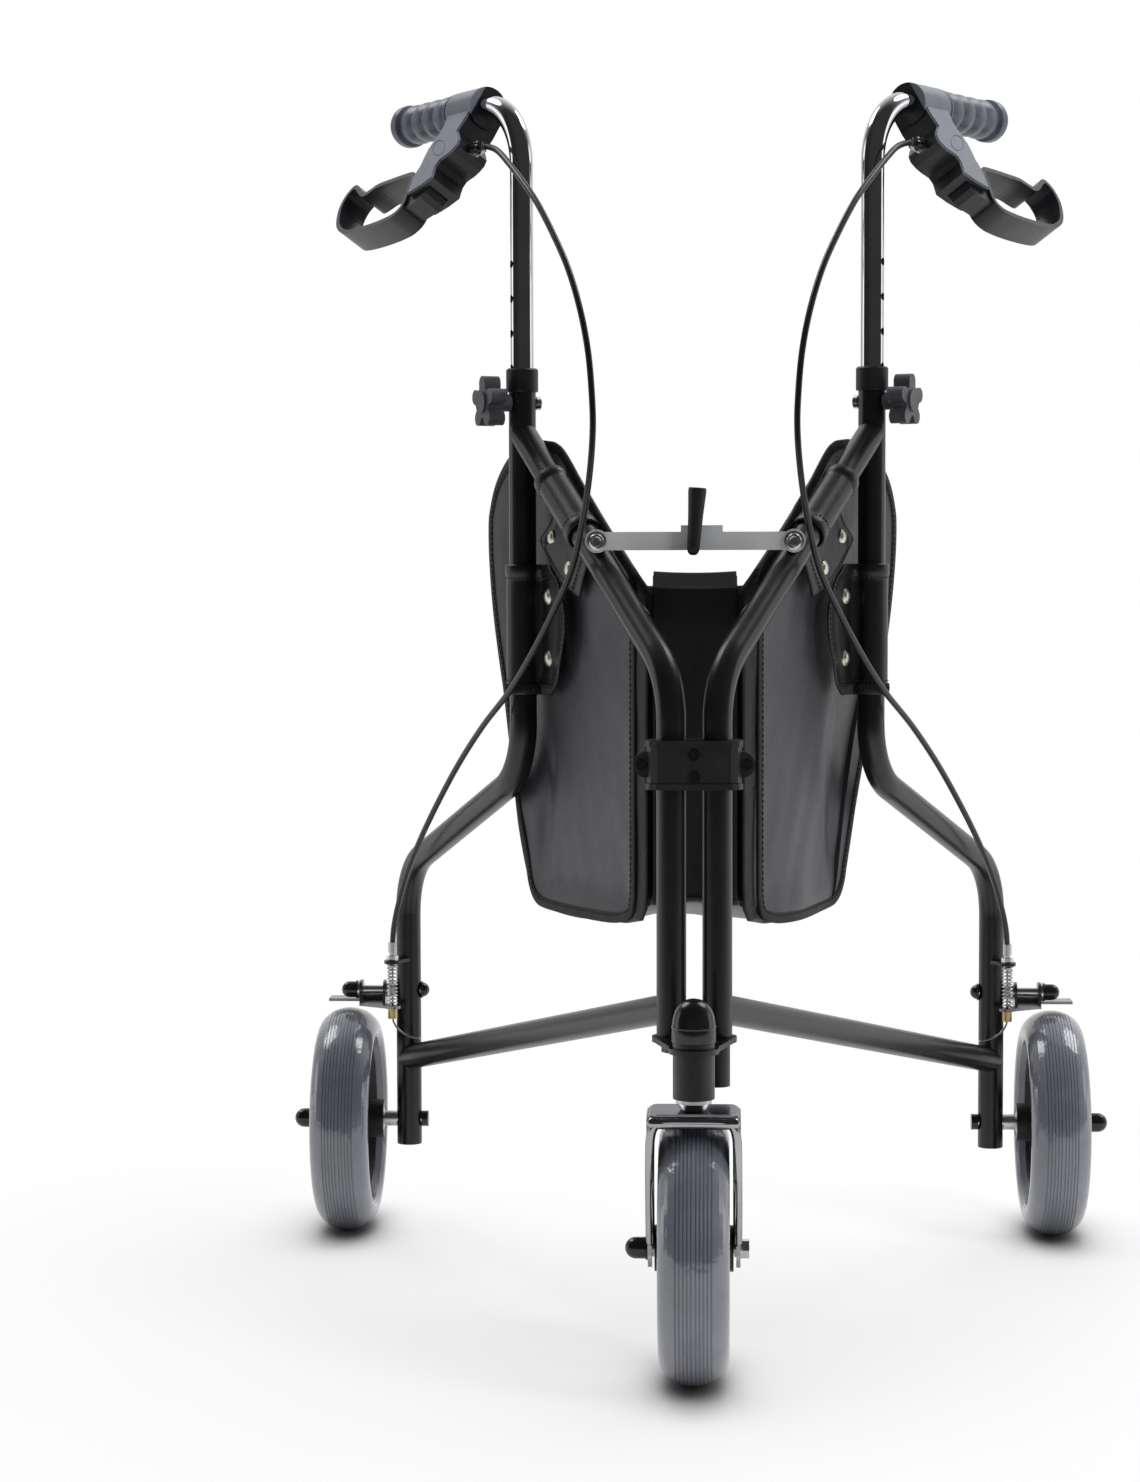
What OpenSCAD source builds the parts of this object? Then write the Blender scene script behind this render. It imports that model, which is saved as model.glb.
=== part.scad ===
// Three wheel rollator: two side frames hinged on a caster head, folding stay,
// height-set handles with loop brake levers, cable brakes and a shopping bag.
// Millimetres. Z is up, the front faces -Y, the user's left is +X.

/* [Wheels] */
// Outer diameter of every tyre
wheel_d = 200; // [196:1:204]
// Width of every tyre
tyre_w = 52; // [50:0.5:54]
// Diameter of the wheel axle bolts
axle_d = 8; // [8:0.5:9]
// Hub length of the rear wheels
rear_hub_len = 64; // [62:1:66]
// Silver spacer between leg and rear hub
rear_spacer = 11; // [10.5:0.5:13]

/* [Side frames] */
// Outer diameter of the frame tubes
tube_od = 22.2; // [22:0.1:22.6]
// Wall thickness of the frame tubes
tube_wall = 1.5; // [1.4:0.05:1.6]
// Opening angle of each side frame from the middle plane
frame_angle = 27; // [26.5:0.25:27.5]
// Distance of each hinge axis from the middle plane
hinge_gap = 17; // [16.5:0.25:18]
// Distance of the handle sleeve from the hinge axis
sleeve_r = 275; // [271:1:279]
// Distance of the leg from the hinge axis
leg_r = 539; // [533:1:545]
// Centreline radius of the tube bends
bend_r = 60; // [55:1:64]
// Height where the sleeve ends
sleeve_top = 745; // [742:1:750]
// Height of the upper bend of the rear tube
upper_bend_z = 432; // [428:1:436]
// Fall of the rear tube between its bends, in degrees
rear_fall = 21.5; // [21:0.25:22.5]
// Height of the bend of the front tube
front_bend_z = 520; // [517:1:524]
// Drop of the diagonal's joint below the end of the sleeve
join_drop = 36; // [34:1:38]
// Height of the lower tube at the front
lower_front_z = 275; // [273:1:278]
// Height of the lower tube at the leg
lower_leg_z = 156; // [153:1:159]

/* [Caster head] */
// Distance of the swivel axis ahead of the hinge axes
barrel_ahead = 53; // [51:0.5:55]
// Trail of the front wheel behind the swivel axis
caster_trail = 30; // [26:1:32]
// Outer diameter of the caster barrel
barrel_d = 30.5; // [30:0.5:32]
// Diameter of the caster stem
stem_pin_d = 12; // [11.5:0.5:12.5]
// Gap between fork leg and front hub
fork_gap = 2; // [1.5:0.25:2.5]
// Sheet thickness of the fork
fork_t = 3; // [2.6:0.1:3.2]

/* [Handles] */
// Outer diameter of the handle stem
stem_od = 19; // [18.9:0.02:19.02]
// Height of the hand grip axis at rest
bar_z = 977; // [973:1:981]
// Turn of the handle bar outward from the frame plane
splay = 8; // [6:0.5:10]
// Roll of the brake lever outward about the bar
lever_roll = 32; // [30:1:34]
// Diameter of the hand grip
grip_d = 32; // [31:0.5:33]
// Distance of the grip end from the stem
grip_end = 190; // [187:1:194]
// Spacing of the height holes in the stem
hole_pitch = 28; // [27:0.5:28.5]

/* [Brake] */
// Height of the brake arm pivot
brake_z = 217.5; // [216.5:0.25:219]
// Diameter of the brake pivot bolt
pivot_d = 8; // [7.5:0.25:8.5]
// Thickness of the brake arm sheet
arm_t = 2.5; // [2.2:0.1:2.8]
// Outer diameter of the brake cable
cable_d = 5; // [4.5:0.25:5.25]

/* [Stay and bag] */
// Distance of the stay pivots from the hinge axis
stay_r = 137.5; // [135:0.5:140]
// Width of the stay links
stay_w = 14; // [13:0.5:15]
// Thickness of the stay links
stay_t = 2.5; // [2.2:0.1:2.8]
// Thickness of the bag sheet
bag_t = 2.4; // [2:0.1:3]
// Height of the bag's base
bag_low = 318; // [314:1:322]
// Height of the bag's rim
bag_rim = 596; // [590:1:600]
// Front wall of the bag from the hinge axis
bag_front = 66; // [64:1:68]
// Back wall of the bag at its base
bag_back = 284; // [280:1:288]
// Back wall of the bag at its rim
bag_back_top = 344; // [340:1:348]

/* [Hidden] */
// Radial running clearance of turning parts
run = 0.1;
// Gap between solids of different bodies
gap = 0.5;
// Gap between solids of one body that only touch
touch = 0.02;
// Swell of a tube at its bends, and how far straights run into them
swell = 0.08;
lap = 0.6;
tube_r = tube_od / 2;
tube_ri = tube_r - tube_wall;
wheel_r = wheel_d / 2;
axle_r = axle_d / 2;
stem_r = stem_od / 2;
pin_r = stem_pin_d / 2;
barrel_r = barrel_d / 2;
cable_r = cable_d / 2;
sa = sin(frame_angle);
ca = cos(frame_angle);
hinge_y = -(leg_r * ca - barrel_ahead + caster_trail) / 2;
barrel_y = hinge_y - barrel_ahead;
front_axle_y = barrel_y + caster_trail;
leg_x = hinge_gap + leg_r * sa;
leg_y = hinge_y + leg_r * ca;
leg_bottom = wheel_r - tube_r - 10;
// Wheel stations measured outward from the leg axis
hub_in = tube_r + rear_spacer + gap;
hub_out = hub_in + rear_hub_len;
wheel_off = hub_in + rear_hub_len / 2;
// Caster stack from the tyre upward
crown_z = wheel_d + 6;
crown_top = crown_z + fork_t;
barrel_bottom = crown_top + 8;
barrel_top = barrel_bottom + 41;
plate_t = 4;
plate_top = barrel_top - 4;
tube_bottom = plate_top + gap;
bearing_r = 13;
// Front hub and fork
front_hub_len = tyre_w + 6;
fork_in = front_hub_len / 2 + fork_gap;
// Clamp
clamp_z = 438;
clamp_h = 36;
// Stay
diag_slope = (sleeve_top - join_drop - front_bend_z) / sleeve_r;
diagonal_rise = atan(diag_slope);
diagonal_z = front_bend_z + diag_slope * sleeve_r;
lower_bend_z = upper_bend_z - tan(rear_fall) * (leg_r - sleeve_r);
stay_z = front_bend_z + diag_slope * stay_r;
stay_x = hinge_gap + stay_r * sa;
stay_y = hinge_y + stay_r * ca;
// Boss of each stay pivot, beside and above the tube axis
boss_in = 4;
boss_up = 6;
boss_r = 8;
stay_plane = tube_r + 13;
stay_pitch = stay_t + 0.6;
function link_y(s) = stay_plane + (s < 0 ? stay_pitch : 0);
knob_z = sleeve_top - 12;
// Gap between tubes and bag panel
panel_gap = 2.2;
// Brake stations, outward and forward of the leg axis
wire_x = 12;
wire_y = -24;
tab_z = brake_z + 27;
ear_in = tube_r + 9;
ear_out = ear_in + 21;
lug_z = brake_z - 13.5;
// Handle: its bend stays above the sleeve collar
collar_h = 16;
collar_clear = 8;
bend_hr = min(52, bar_z - sleeve_top - collar_h - collar_clear);
stem_bottom = sleeve_top - 145;
clamp_l = bend_hr + 3;
// Lever pivot in the lever plane, along the bar and below it
piv_l = clamp_l + 19;
piv_d = 76;
// Faces of the lever housing outward and inward of the bar
cover_o = 13;
inner_o = 18;
lever_mid = (inner_o - cover_o) / 2;
// Cable ferrule below the bar
cable_h = 41;
$fn = 48;

// Vector helpers
function unit(v) = v / norm(v);
function turn2(a) = [cos(a), sin(a)];
// Point on a smooth curve through the points
function smooth_at(p, i, t) =
    let (n = len(p))
    let (a = p[max(i - 1, 0)])
    let (b = p[i])
    let (c = p[min(i + 1, n - 1)])
    let (d = p[min(i + 2, n - 1)])
    b + 0.5 * (t * (c - a) + t * t * (2 * a - 5 * b + 4 * c - d)
        + t * t * t * (3 * b - a - 3 * c + d));
function smooth(p, k) = concat(
    [for (i = [0:len(p) - 2]) for (j = [0:k - 1]) smooth_at(p, i, j / k)],
    [p[len(p) - 1]]);
// Closed smooth outline through the points
function ring_at(p, i, t) =
    let (n = len(p))
    let (a = p[(i + n - 1) % n])
    let (b = p[i])
    let (c = p[(i + 1) % n])
    let (d = p[(i + 2) % n])
    b + 0.5 * (t * (c - a) + t * t * (2 * a - 5 * b + 4 * c - d)
        + t * t * t * (3 * b - a - 3 * c + d));
function ring(p, k) = [for (i = [0:len(p) - 1]) for (j = [0:k - 1]) ring_at(p, i, j / k)];
// Closed outline moved inward by d, for outlines that run clockwise
function inset(p, d) =
    let (n = len(p))
    [for (i = [0:n - 1])
        let (t = unit(p[(i + 1) % n] - p[(i + n - 1) % n]))
        p[i] + d * [t[1], -t[0]]];
// Sections carried along a path without twist
function tangent(p, i) = unit(p[min(i + 1, len(p) - 1)] - p[max(i - 1, 0)]);
function carried(n, t) = unit(n - (n * t) * t);
function normals(p, i, n) = i >= len(p) ? [] :
    let (m = carried(n, tangent(p, i)))
    concat([m], normals(p, i + 1, m));
function start_normal(t) = carried(abs(t[2]) < 0.9 ? [0, 0, 1] : [1, 0, 0], t);

// Swept round tube along a list of points
module sweep(p, r, s) {
    n = normals(p, 0, start_normal(tangent(p, 0)));
    pts = [for (i = [0:len(p) - 1])
        let (b = cross(tangent(p, i), n[i]))
        for (j = [0:s - 1]) p[i] + r * (cos(360 * j / s) * n[i] + sin(360 * j / s) * b)];
    one = [for (i = [0:len(p) - 2]) for (j = [0:s - 1])
        [i * s + j, (i + 1) * s + j, (i + 1) * s + (j + 1) % s]];
    two = [for (i = [0:len(p) - 2]) for (j = [0:s - 1])
        [i * s + j, (i + 1) * s + (j + 1) % s, i * s + (j + 1) % s]];
    e = (len(p) - 1) * s;
    first = [for (j = [1:s - 2]) [0, j, j + 1]];
    last = [for (j = [1:s - 2]) [e, e + j + 1, e + j]];
    polyhedron(points = pts, faces = concat(first, one, two, last));
}

// Places
module side(s) {
    mirror([s < 0 ? 1 : 0, 0, 0])
        children();
}
module frame_plane() {
    translate([hinge_gap, hinge_y, 0])
        rotate([0, 0, 90 - frame_angle])
            children();
}
module leg_place() {
    translate([leg_x, leg_y, 0])
        children();
}
module handle_place() {
    frame_plane()
        translate([sleeve_r, 0, bar_z])
            rotate([0, 0, -splay])
                children();
}
module lever_place() {
    handle_place()
        rotate([-lever_roll, 0, 0])
            children();
}
// Round bar along X
module xbar(r, a, b) {
    translate([a, 0, 0])
        rotate([0, 90, 0])
            cylinder(r = r, h = b - a);
}
// Hexagon along X
module xhex(af, a, b) {
    translate([a, 0, 0])
        rotate([0, 90, 0])
            rotate([0, 0, 30])
                cylinder(r = af / sqrt(3), h = b - a, $fn = 6);
}
module annulus(r, ri) {
    difference() {
        circle(r = r);
        circle(r = ri);
    }
}
// Straight tube between two points of the XZ plane
module rod(p, q, r, ri) {
    d = q - p;
    translate([p[0], 0, p[1]])
        rotate([0, atan2(d[0], d[1]), 0])
            linear_extrude(norm(d))
                annulus(r, ri);
}
// Tube bend that starts upward at the origin and turns toward -X, or +X if a < 0
module elbow(a, br, r, ri) {
    mirror([a < 0 ? 1 : 0, 0, 0])
        translate([-br, 0, 0])
            rotate([90, 0, 0])
                rotate_extrude(angle = abs(a))
                    translate([br, 0])
                        annulus(r, ri);
}
// Place at the end of such a bend
module after_elbow(a, br) {
    translate([a < 0 ? br : -br, 0, 0])
        rotate([0, -a, 0])
            translate([a < 0 ? -br : br, 0, 0])
                children();
}
// Length that a bend takes from each leg of its corner
function trim(a, br) = br * tan(abs(a) / 2);
// Tube up from the origin through one bend, which swells a little
module bent_tube(l1, a, l2, br, r, ri) {
    linear_extrude(l1 + lap)
        annulus(r, ri);
    translate([0, 0, l1]) {
        elbow(a, br, r + swell, ri - swell);
        after_elbow(a, br)
            translate([0, 0, -lap])
                linear_extrude(l2 + lap)
                    annulus(r, ri);
    }
}

// Head
module head_barrel() {
    color("#1c1c1e")
    difference() {
        union() {
            translate([0, barrel_y, barrel_bottom])
                cylinder(r = barrel_r, h = barrel_top - barrel_bottom);
            translate([0, 0, plate_top - plate_t])
                linear_extrude(plate_t) {
                    translate([0, barrel_y])
                        circle(r = barrel_r + 3);
                    for (s = [-1, 1])
                        translate([s * hinge_gap, hinge_y])
                            circle(r = 14.5);
                    polygon([[-hinge_gap - 14.5, hinge_y], [-barrel_r - 2.5, barrel_y + 4],
                        [barrel_r + 2.5, barrel_y + 4], [hinge_gap + 14.5, hinge_y],
                        [hinge_gap, hinge_y + 14.5], [-hinge_gap, hinge_y + 14.5]]);
                }
        }
        translate([0, barrel_y, barrel_bottom - 1])
            cylinder(r = bearing_r, h = barrel_top - barrel_bottom + 2);
        translate([hinge_gap, hinge_y, plate_top - 10])
            cylinder(r = tube_ri - run + touch, h = 20);
        translate([-hinge_gap, hinge_y, plate_top - 10])
            cylinder(r = 4 + touch, h = 20);
    }
}
module barrel_cap() {
    color("#161618")
    translate([0, barrel_y, barrel_top])
        rotate_extrude()
            polygon([[barrel_r - 4, touch], [barrel_r + 0.8, touch], [barrel_r + 0.8, 12],
                [barrel_r, 17], [barrel_r - 2, 22], [barrel_r - 5, 26.5], [barrel_r - 9, 29.6],
                [barrel_r - 13, 31.2], [0, 31.8], [0, 27.5], [barrel_r - 12, 26.5],
                [barrel_r - 7, 22], [barrel_r - 4, 16]]);
}
module head_bearings() {
    color("#a8abad")
    for (z = [barrel_bottom + 1, barrel_top - 9])
        translate([0, barrel_y, z])
            rotate_extrude()
                translate([pin_r + run / 2, 0])
                    square([bearing_r - touch - pin_r - run / 2, 8]);
}
module hinge_pins() {
    color("#2a2a2c")
    translate([hinge_gap, hinge_y, barrel_bottom])
        difference() {
            cylinder(r = tube_ri - run, h = plate_top + 50 - barrel_bottom);
            translate([0, 0, -1])
                cylinder(r = tube_ri - run - 2, h = plate_top + 60 - barrel_bottom);
        }
    color("#b9bcbe")
    translate([-hinge_gap, hinge_y, plate_top - plate_t - touch]) {
        translate([0, 0, -1.6])
            cylinder(r = 8, h = 1.6);
        translate([0, 0, -8])
            cylinder(r = 7.5, h = 6.4, $fn = 6);
        cylinder(r = 4, h = plate_t + 42);
    }
}
module clamp_plan(s, grow) {
    x = hinge_gap + 18 + grow;
    y = 17 + grow;
    polygon([[-x, s * 0.3], [-x, s * (y - 11)], [-x + 3, s * (y - 5)], [-x + 8, s * (y - 1.5)],
        [-x + 15, s * y], [x - 15, s * y], [x - 8, s * (y - 1.5)], [x - 3, s * (y - 5)],
        [x, s * (y - 11)], [x, s * 0.3]]);
}
module clamp_half(s) {
    rib = 4.5;
    difference() {
        union() {
            translate([0, hinge_y, clamp_z])
                linear_extrude(clamp_h)
                    clamp_plan(s, 0);
            for (z = [0, clamp_h - rib])
                translate([0, hinge_y, clamp_z + z])
                    linear_extrude(rib)
                        clamp_plan(s, 1);
            for (k = [-1, 1])
                translate([k * (hinge_gap + 18.5), hinge_y + s * 3.3, clamp_z + clamp_h / 2])
                    rotate([90, 0, 0])
                        cylinder(r = 9.5, h = 6, center = true);
        }
        for (k = [-1, 1])
            translate([k * hinge_gap, hinge_y, clamp_z - 1])
                cylinder(r = tube_r + run + 0.1, h = clamp_h + 2);
        clamp_holes(2.2);
        for (k = [-1, 1])
            translate([k * (hinge_gap + 22), hinge_y + s * 6.6, clamp_z + clamp_h / 2])
                rotate([90, 0, 0])
                    cylinder(r = 4.2, h = 1.6, center = true);
        for (z = [10, clamp_h - 10])
            translate([0, hinge_y + s * 17, clamp_z + z])
                rotate([90, 0, 0])
                    cylinder(r = 4.2, h = 1.6, center = true);
    }
}
module clamp_holes(r) {
    for (k = [-1, 1])
        translate([k * (hinge_gap + 22), hinge_y, clamp_z + clamp_h / 2])
            rotate([90, 0, 0])
                cylinder(r = r, h = 80, center = true);
    for (z = [10, clamp_h - 10])
        translate([0, hinge_y, clamp_z + z])
            rotate([90, 0, 0])
                cylinder(r = r, h = 80, center = true);
}
module clamp_front() {
    color("#19191b")
    clamp_half(-1);
}
module clamp_rear() {
    color("#19191b")
    clamp_half(1);
}
module screw_y(x, z, face) {
    translate([x, hinge_y, z])
        rotate([90, 0, 0]) {
            translate([0, 0, -face - 2])
                cylinder(r = 2, h = 2 * face + 3);
            translate([0, 0, face + touch])
                cylinder(r = 3.8, h = 1.8);
            translate([0, 0, -face - 2.4 - touch])
                cylinder(r = 3.8, h = 2.4, $fn = 6);
        }
}
module clamp_screws() {
    color("#26262a")
    union() {
        for (k = [-1, 1])
            screw_y(k * (hinge_gap + 22), clamp_z + clamp_h / 2, 5.8);
        for (z = [10, clamp_h - 10])
            screw_y(0, clamp_z + z, 16.2);
    }
}
// Bag between the side panels: front wall, back wall and base
bag_off = tube_r + panel_gap + bag_t + 0.3;
function bag_half(r) = hinge_gap + r * sa - bag_off * ca;
function bag_y(r) = hinge_y + r * ca + bag_off * sa;
module bag_block(g, z0, ztop) {
    f = bag_front + g;
    b0 = bag_back - g;
    b1 = bag_back_top - g;
    y0 = bag_y(f);
    h0 = bag_half(f) - g;
    pts = [[-h0, y0, z0 + 14], [h0, y0, z0 + 14],
        [bag_half(b0) - g, bag_y(b0), z0], [-bag_half(b0) + g, bag_y(b0), z0],
        [-h0, y0, ztop], [h0, y0, ztop],
        [bag_half(b1) - g, bag_y(b1), ztop], [-bag_half(b1) + g, bag_y(b1), ztop]];
    polyhedron(points = pts, faces = [[0, 1, 2], [0, 2, 3], [4, 6, 5], [4, 7, 6],
        [0, 5, 1], [0, 4, 5], [1, 6, 2], [1, 5, 6], [2, 7, 3], [2, 6, 7], [3, 4, 0], [3, 7, 4]]);
}
module bag_shell() {
    color("#17171b")
    difference() {
        bag_block(0, bag_low, bag_rim);
        bag_block(bag_t, bag_low + bag_t, bag_rim + 60);
    }
}

// Caster
module fork_side() {
    a = [0, 14];
    difference() {
        linear_extrude(fork_t) {
            circle(r = 14);
            polygon([[13.6, -3], [caster_trail + 20, crown_z - wheel_r - 40],
                [caster_trail + 21, crown_z - wheel_r], [caster_trail - 21, crown_z - wheel_r],
                [-13.6, 3]]);
        }
        translate([0, 0, -1])
            cylinder(r = axle_r + touch, h = fork_t + 2);
    }
}
module caster_fork() {
    w = fork_in + fork_t;
    c = 9;
    color("#c9ccce")
    union() {
        for (s = [-1, 1])
            translate([s > 0 ? fork_in : -fork_in - fork_t, front_axle_y, wheel_r])
                rotate([90, 0, 90])
                    mirror([1, 0, 0])
                        fork_side();
        difference() {
            translate([0, barrel_y, crown_z])
                rotate([90, 0, 0])
                    linear_extrude(42, center = true)
                        crown_section(w);
            // rounded corners in plan
            for (s = [-1, 1])
                for (k = [-1, 1])
                    translate([s * (w - c), barrel_y + k * (21 - c), crown_top - 1.5])
                        linear_extrude(4)
                            difference() {
                                translate([s > 0 ? 0 : -c - 1, k > 0 ? 0 : -c - 1])
                                    square(c + 1);
                                circle(r = c);
                            }
            translate([0, barrel_y, crown_z - 5])
                cylinder(r = pin_r + touch, h = 20);
        }
        // rolled lip at the front of the crown
        translate([0, barrel_y - 20, crown_top - 6.5])
            rotate([0, 90, 0])
                cylinder(r = 4.5, h = 2 * w - 9, center = true);
        for (s = [-1, 1])
            translate([s * (w - 4.5), barrel_y - 20, crown_top - 6.5])
                sphere(r = 4.5);
    }
}
// Bent sheet across the fork, seen from the front
module crown_section(w) {
    difference() {
        union() {
            translate([-w, -8])
                square([2 * w, fork_t + 2]);
            translate([-w + 6, -8])
                square([2 * w - 12, fork_t + 8]);
            for (s = [-1, 1])
                translate([s * (w - 6), fork_t - 6])
                    circle(r = 6);
        }
        translate([-fork_in, -9])
            square([2 * fork_in, 6]);
        translate([-fork_in + 3, -9])
            square([2 * fork_in - 6, 9]);
        for (s = [-1, 1])
            translate([s * (fork_in - 3), -3])
                circle(r = 3);
    }
}
module caster_stem() {
    color("#b4b7b9")
    translate([0, barrel_y, 0]) {
        rotate_extrude()
            polygon([[0, crown_z - 3.5], [pin_r + 4, crown_z - 3.5], [pin_r + 4, crown_z - touch],
                [pin_r, crown_z - touch], [pin_r, crown_top + touch], [9.5, crown_top + touch],
                [13, barrel_bottom - 3], [13, barrel_bottom - gap], [pin_r, barrel_bottom - gap],
                [pin_r, barrel_top + 11], [0, barrel_top + 11]]);
        translate([0, 0, barrel_top + 0.8])
            difference() {
                cylinder(r = 10.5, h = 8, $fn = 6);
                translate([0, 0, -1])
                    cylinder(r = pin_r + touch, h = 10);
            }
    }
}
module front_axle() {
    w = fork_in + fork_t;
    color("#b9bcbe")
    translate([0, front_axle_y, wheel_r])
        union() {
            xbar(axle_r, -w - 8, w + 1);
            xbar(7.5, w + touch, w + 1.4);
            xhex(13, w + 1, w + 6.5);
            for (s = [-1, 1])
                difference() {
                    xbar(6.5, s > 0 ? fork_in - fork_gap + gap : -fork_in + touch,
                        s > 0 ? fork_in - touch : -fork_in + fork_gap - gap);
                    xbar(axle_r - 0.5, -60, 60);
                }
        }
}
module dome_nut(r, len, bore) {
    difference() {
        rotate_extrude()
            polygon(concat([[0, 0], [r + 1, 0], [r + 1, 1.6], [r, 2], [r, len - r]],
                [for (a = [15:15:90]) [r * cos(a), len - r + r * sin(a)]]));
        translate([0, 0, -1])
            cylinder(r = bore, h = len * 0.6);
    }
}
module front_axle_cap() {
    color("#141416")
    translate([-fork_in - fork_t - touch, front_axle_y, wheel_r])
        rotate([0, -90, 0])
            dome_nut(8, 17, axle_r + touch);
}

// Wheels, built about the X axis at the origin
// Round tread with fine ribs
tread_drop = 20;
function tread_r(x) = wheel_r - tread_drop * (1 - sqrt(1 - pow(2 * x / tyre_w, 2)));
rib_pitch = 2.8;
rib_deep = 0.5;
module tyre_solid() {
    h = tyre_w / 2;
    r = wheel_r;
    half = concat([[h - 9, r - 27], [h - 3.4, r - 26], [h - 0.8, r - 23.4]],
        [for (a = [0:9:54]) [h * cos(a), r - tread_drop + tread_drop * sin(a)]],
        [for (k = [4:-1:0])
            let (x = (k + 0.6) * rib_pitch)
            for (q = [[0.55, 0], [0.3, rib_deep], [-0.3, rib_deep], [-0.55, 0]])
                [x + q[0], tread_r(x + q[0]) - q[1]]],
        [[0.6, tread_r(0.6)], [0.3, wheel_r]]);
    other = [for (i = [len(half) - 1:-1:0]) [-half[i][0], half[i][1]]];
    rotate([0, 90, 0])
        rotate_extrude()
            polygon([for (p = concat(half, other)) [p[1], p[0]]]);
}
module rim_solid(len) {
    h = tyre_w / 2 - 9;
    r = wheel_r - 27 - touch;
    difference() {
        rotate([0, 90, 0])
            union() {
                rotate_extrude()
                    polygon([[r, -h], [r, h], [r - 5, h], [r - 7, 6], [r - 7, -6], [r - 5, -h]]);
                cylinder(r = 17, h = len, center = true);
                for (a = [0:60:300])
                    rotate([0, 0, a])
                        translate([14, -6, -5])
                            cube([r - 20, 12, 10]);
                cylinder(r = 28, h = 10, center = true);
            }
        xbar(axle_r + 1.5, -60, 60);
        for (s = [-1, 1])
            xbar(11 + touch, s > 0 ? len / 2 - 7.5 : -60, s > 0 ? 60 : -len / 2 + 7.5);
    }
}
module bearing_pair(len) {
    for (s = [-1, 1])
        translate([s * (len / 2 - 4), 0, 0])
            rotate([0, 90, 0])
                rotate_extrude()
                    translate([axle_r + run / 2, -3.5])
                        square([11 - axle_r - run / 2, 7]);
}
module front_wheel_place() {
    translate([0, front_axle_y, wheel_r])
        children();
}
module rear_wheel_place() {
    leg_place()
        translate([wheel_off, 0, wheel_r])
            children();
}
module front_tyre() {
    color("#7d8390")
    front_wheel_place()
        tyre_solid();
}
module front_rim() {
    color("#1a1a1c")
    front_wheel_place()
        rim_solid(front_hub_len);
}
module front_bearings() {
    color("#a8abad")
    front_wheel_place()
        bearing_pair(front_hub_len);
}
module tyre(s) {
    color("#7d8390")
    side(s)
        rear_wheel_place()
            tyre_solid();
}
module rim(s) {
    color("#1a1a1c")
    side(s)
        rear_wheel_place()
            rim_solid(rear_hub_len);
}
module bearings(s) {
    color("#a8abad")
    side(s)
        rear_wheel_place()
            bearing_pair(rear_hub_len);
}

// Side frame tubes
module front_tube(s) {
    turn = 90 - diagonal_rise;
    t = trim(turn, bend_r);
    color("#1c1c1e")
    side(s)
        difference() {
            union() {
                frame_plane()
                difference() {
                    translate([0, 0, tube_bottom])
                        bent_tube(front_bend_z - tube_bottom - t, -turn,
                            sleeve_r / cos(diagonal_rise) - t, bend_r, tube_r, tube_ri);
                    translate([sleeve_r, 0, diagonal_z - 60])
                        cylinder(r = tube_r + touch, h = 120);
                }
                stay_boss_place()
                    translate([0, 0, tube_r / 2])
                        cylinder(r = boss_r, h = link_y(s) - gap - tube_r / 2);
            }
            stay_boss_place()
                translate([0, 0, tube_r / 2 + 1])
                    cylinder(r = 3 + touch, h = 40);
        }
}
module stay_boss_place() {
    translate([stay_x - boss_in, stay_y, stay_z + boss_up])
        rotate([90, 0, 0])
            children();
}
module rear_tube(s) {
    turn = 90 - rear_fall;
    t = trim(turn, bend_r);
    l1 = lower_bend_z - leg_bottom - t;
    l2 = (leg_r - sleeve_r) / cos(rear_fall) - 2 * t;
    color("#1c1c1e")
    side(s)
        difference() {
            union() {
                frame_plane()
                    translate([leg_r, 0, leg_bottom]) {
                        linear_extrude(l1 + lap)
                            annulus(tube_r, tube_ri);
                        translate([0, 0, l1]) {
                            elbow(turn, bend_r, tube_r + swell, tube_ri - swell);
                            after_elbow(turn, bend_r)
                                translate([0, 0, -lap])
                                    bent_tube(l2 + lap, -turn, sleeve_top - upper_bend_z - t,
                                        bend_r, tube_r, tube_ri);
                        }
                    }
                cable_tab();
            }
            leg_place() {
                translate([0, 0, wheel_r])
                    xbar(axle_r + touch, -20, 20);
                translate([0, 0, brake_z])
                    xbar(pivot_d / 2 + touch, -20, 20);
                translate([wire_x, wire_y, tab_z - 5])
                    cylinder(r = 3 + touch, h = 20);
            }
            frame_plane()
                translate([sleeve_r, 0, knob_z])
                    rotate([90, 0, 0])
                        cylinder(r = 4 + touch, h = 40, center = true);
        }
}
// Welded tab that stops the outer cable
module cable_tab() {
    leg_place()
        difference() {
            translate([0, 0, tab_z])
                linear_extrude(3) {
                    translate([wire_x, wire_y])
                        circle(r = 7.5);
                    polygon([[wire_x - 7.2, wire_y + 2], [wire_x + 7.2, wire_y - 2],
                        [9, -5], [-4, -8]]);
                }
            translate([0, 0, tab_z - 5])
                cylinder(r = tube_r - 0.3, h = 20);
        }
}
module lower_tube(s) {
    a = [0, lower_front_z];
    b = [leg_r, lower_leg_z];
    color("#1c1c1e")
    side(s)
        frame_plane()
            difference() {
                rod(a, b, tube_r, tube_ri);
                translate([0, 0, lower_front_z - 60])
                    cylinder(r = tube_r + touch, h = 120);
                translate([leg_r, 0, lower_leg_z - 60])
                    cylinder(r = tube_r + touch, h = 120);
            }
}
module sleeve_collar(s) {
    color("#18181a")
    side(s)
        frame_plane()
            translate([sleeve_r, 0, sleeve_top])
                rotate_extrude()
                    polygon([[stem_r + 0.15, touch], [tube_r + touch, touch], [tube_r + touch, -3],
                        [tube_r + 1.6, -3], [tube_r + 2, -2.4], [tube_r + 2, collar_h - 1.4],
                        [tube_r + 0.8, collar_h], [stem_r + 0.15, collar_h]]);
}
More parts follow.
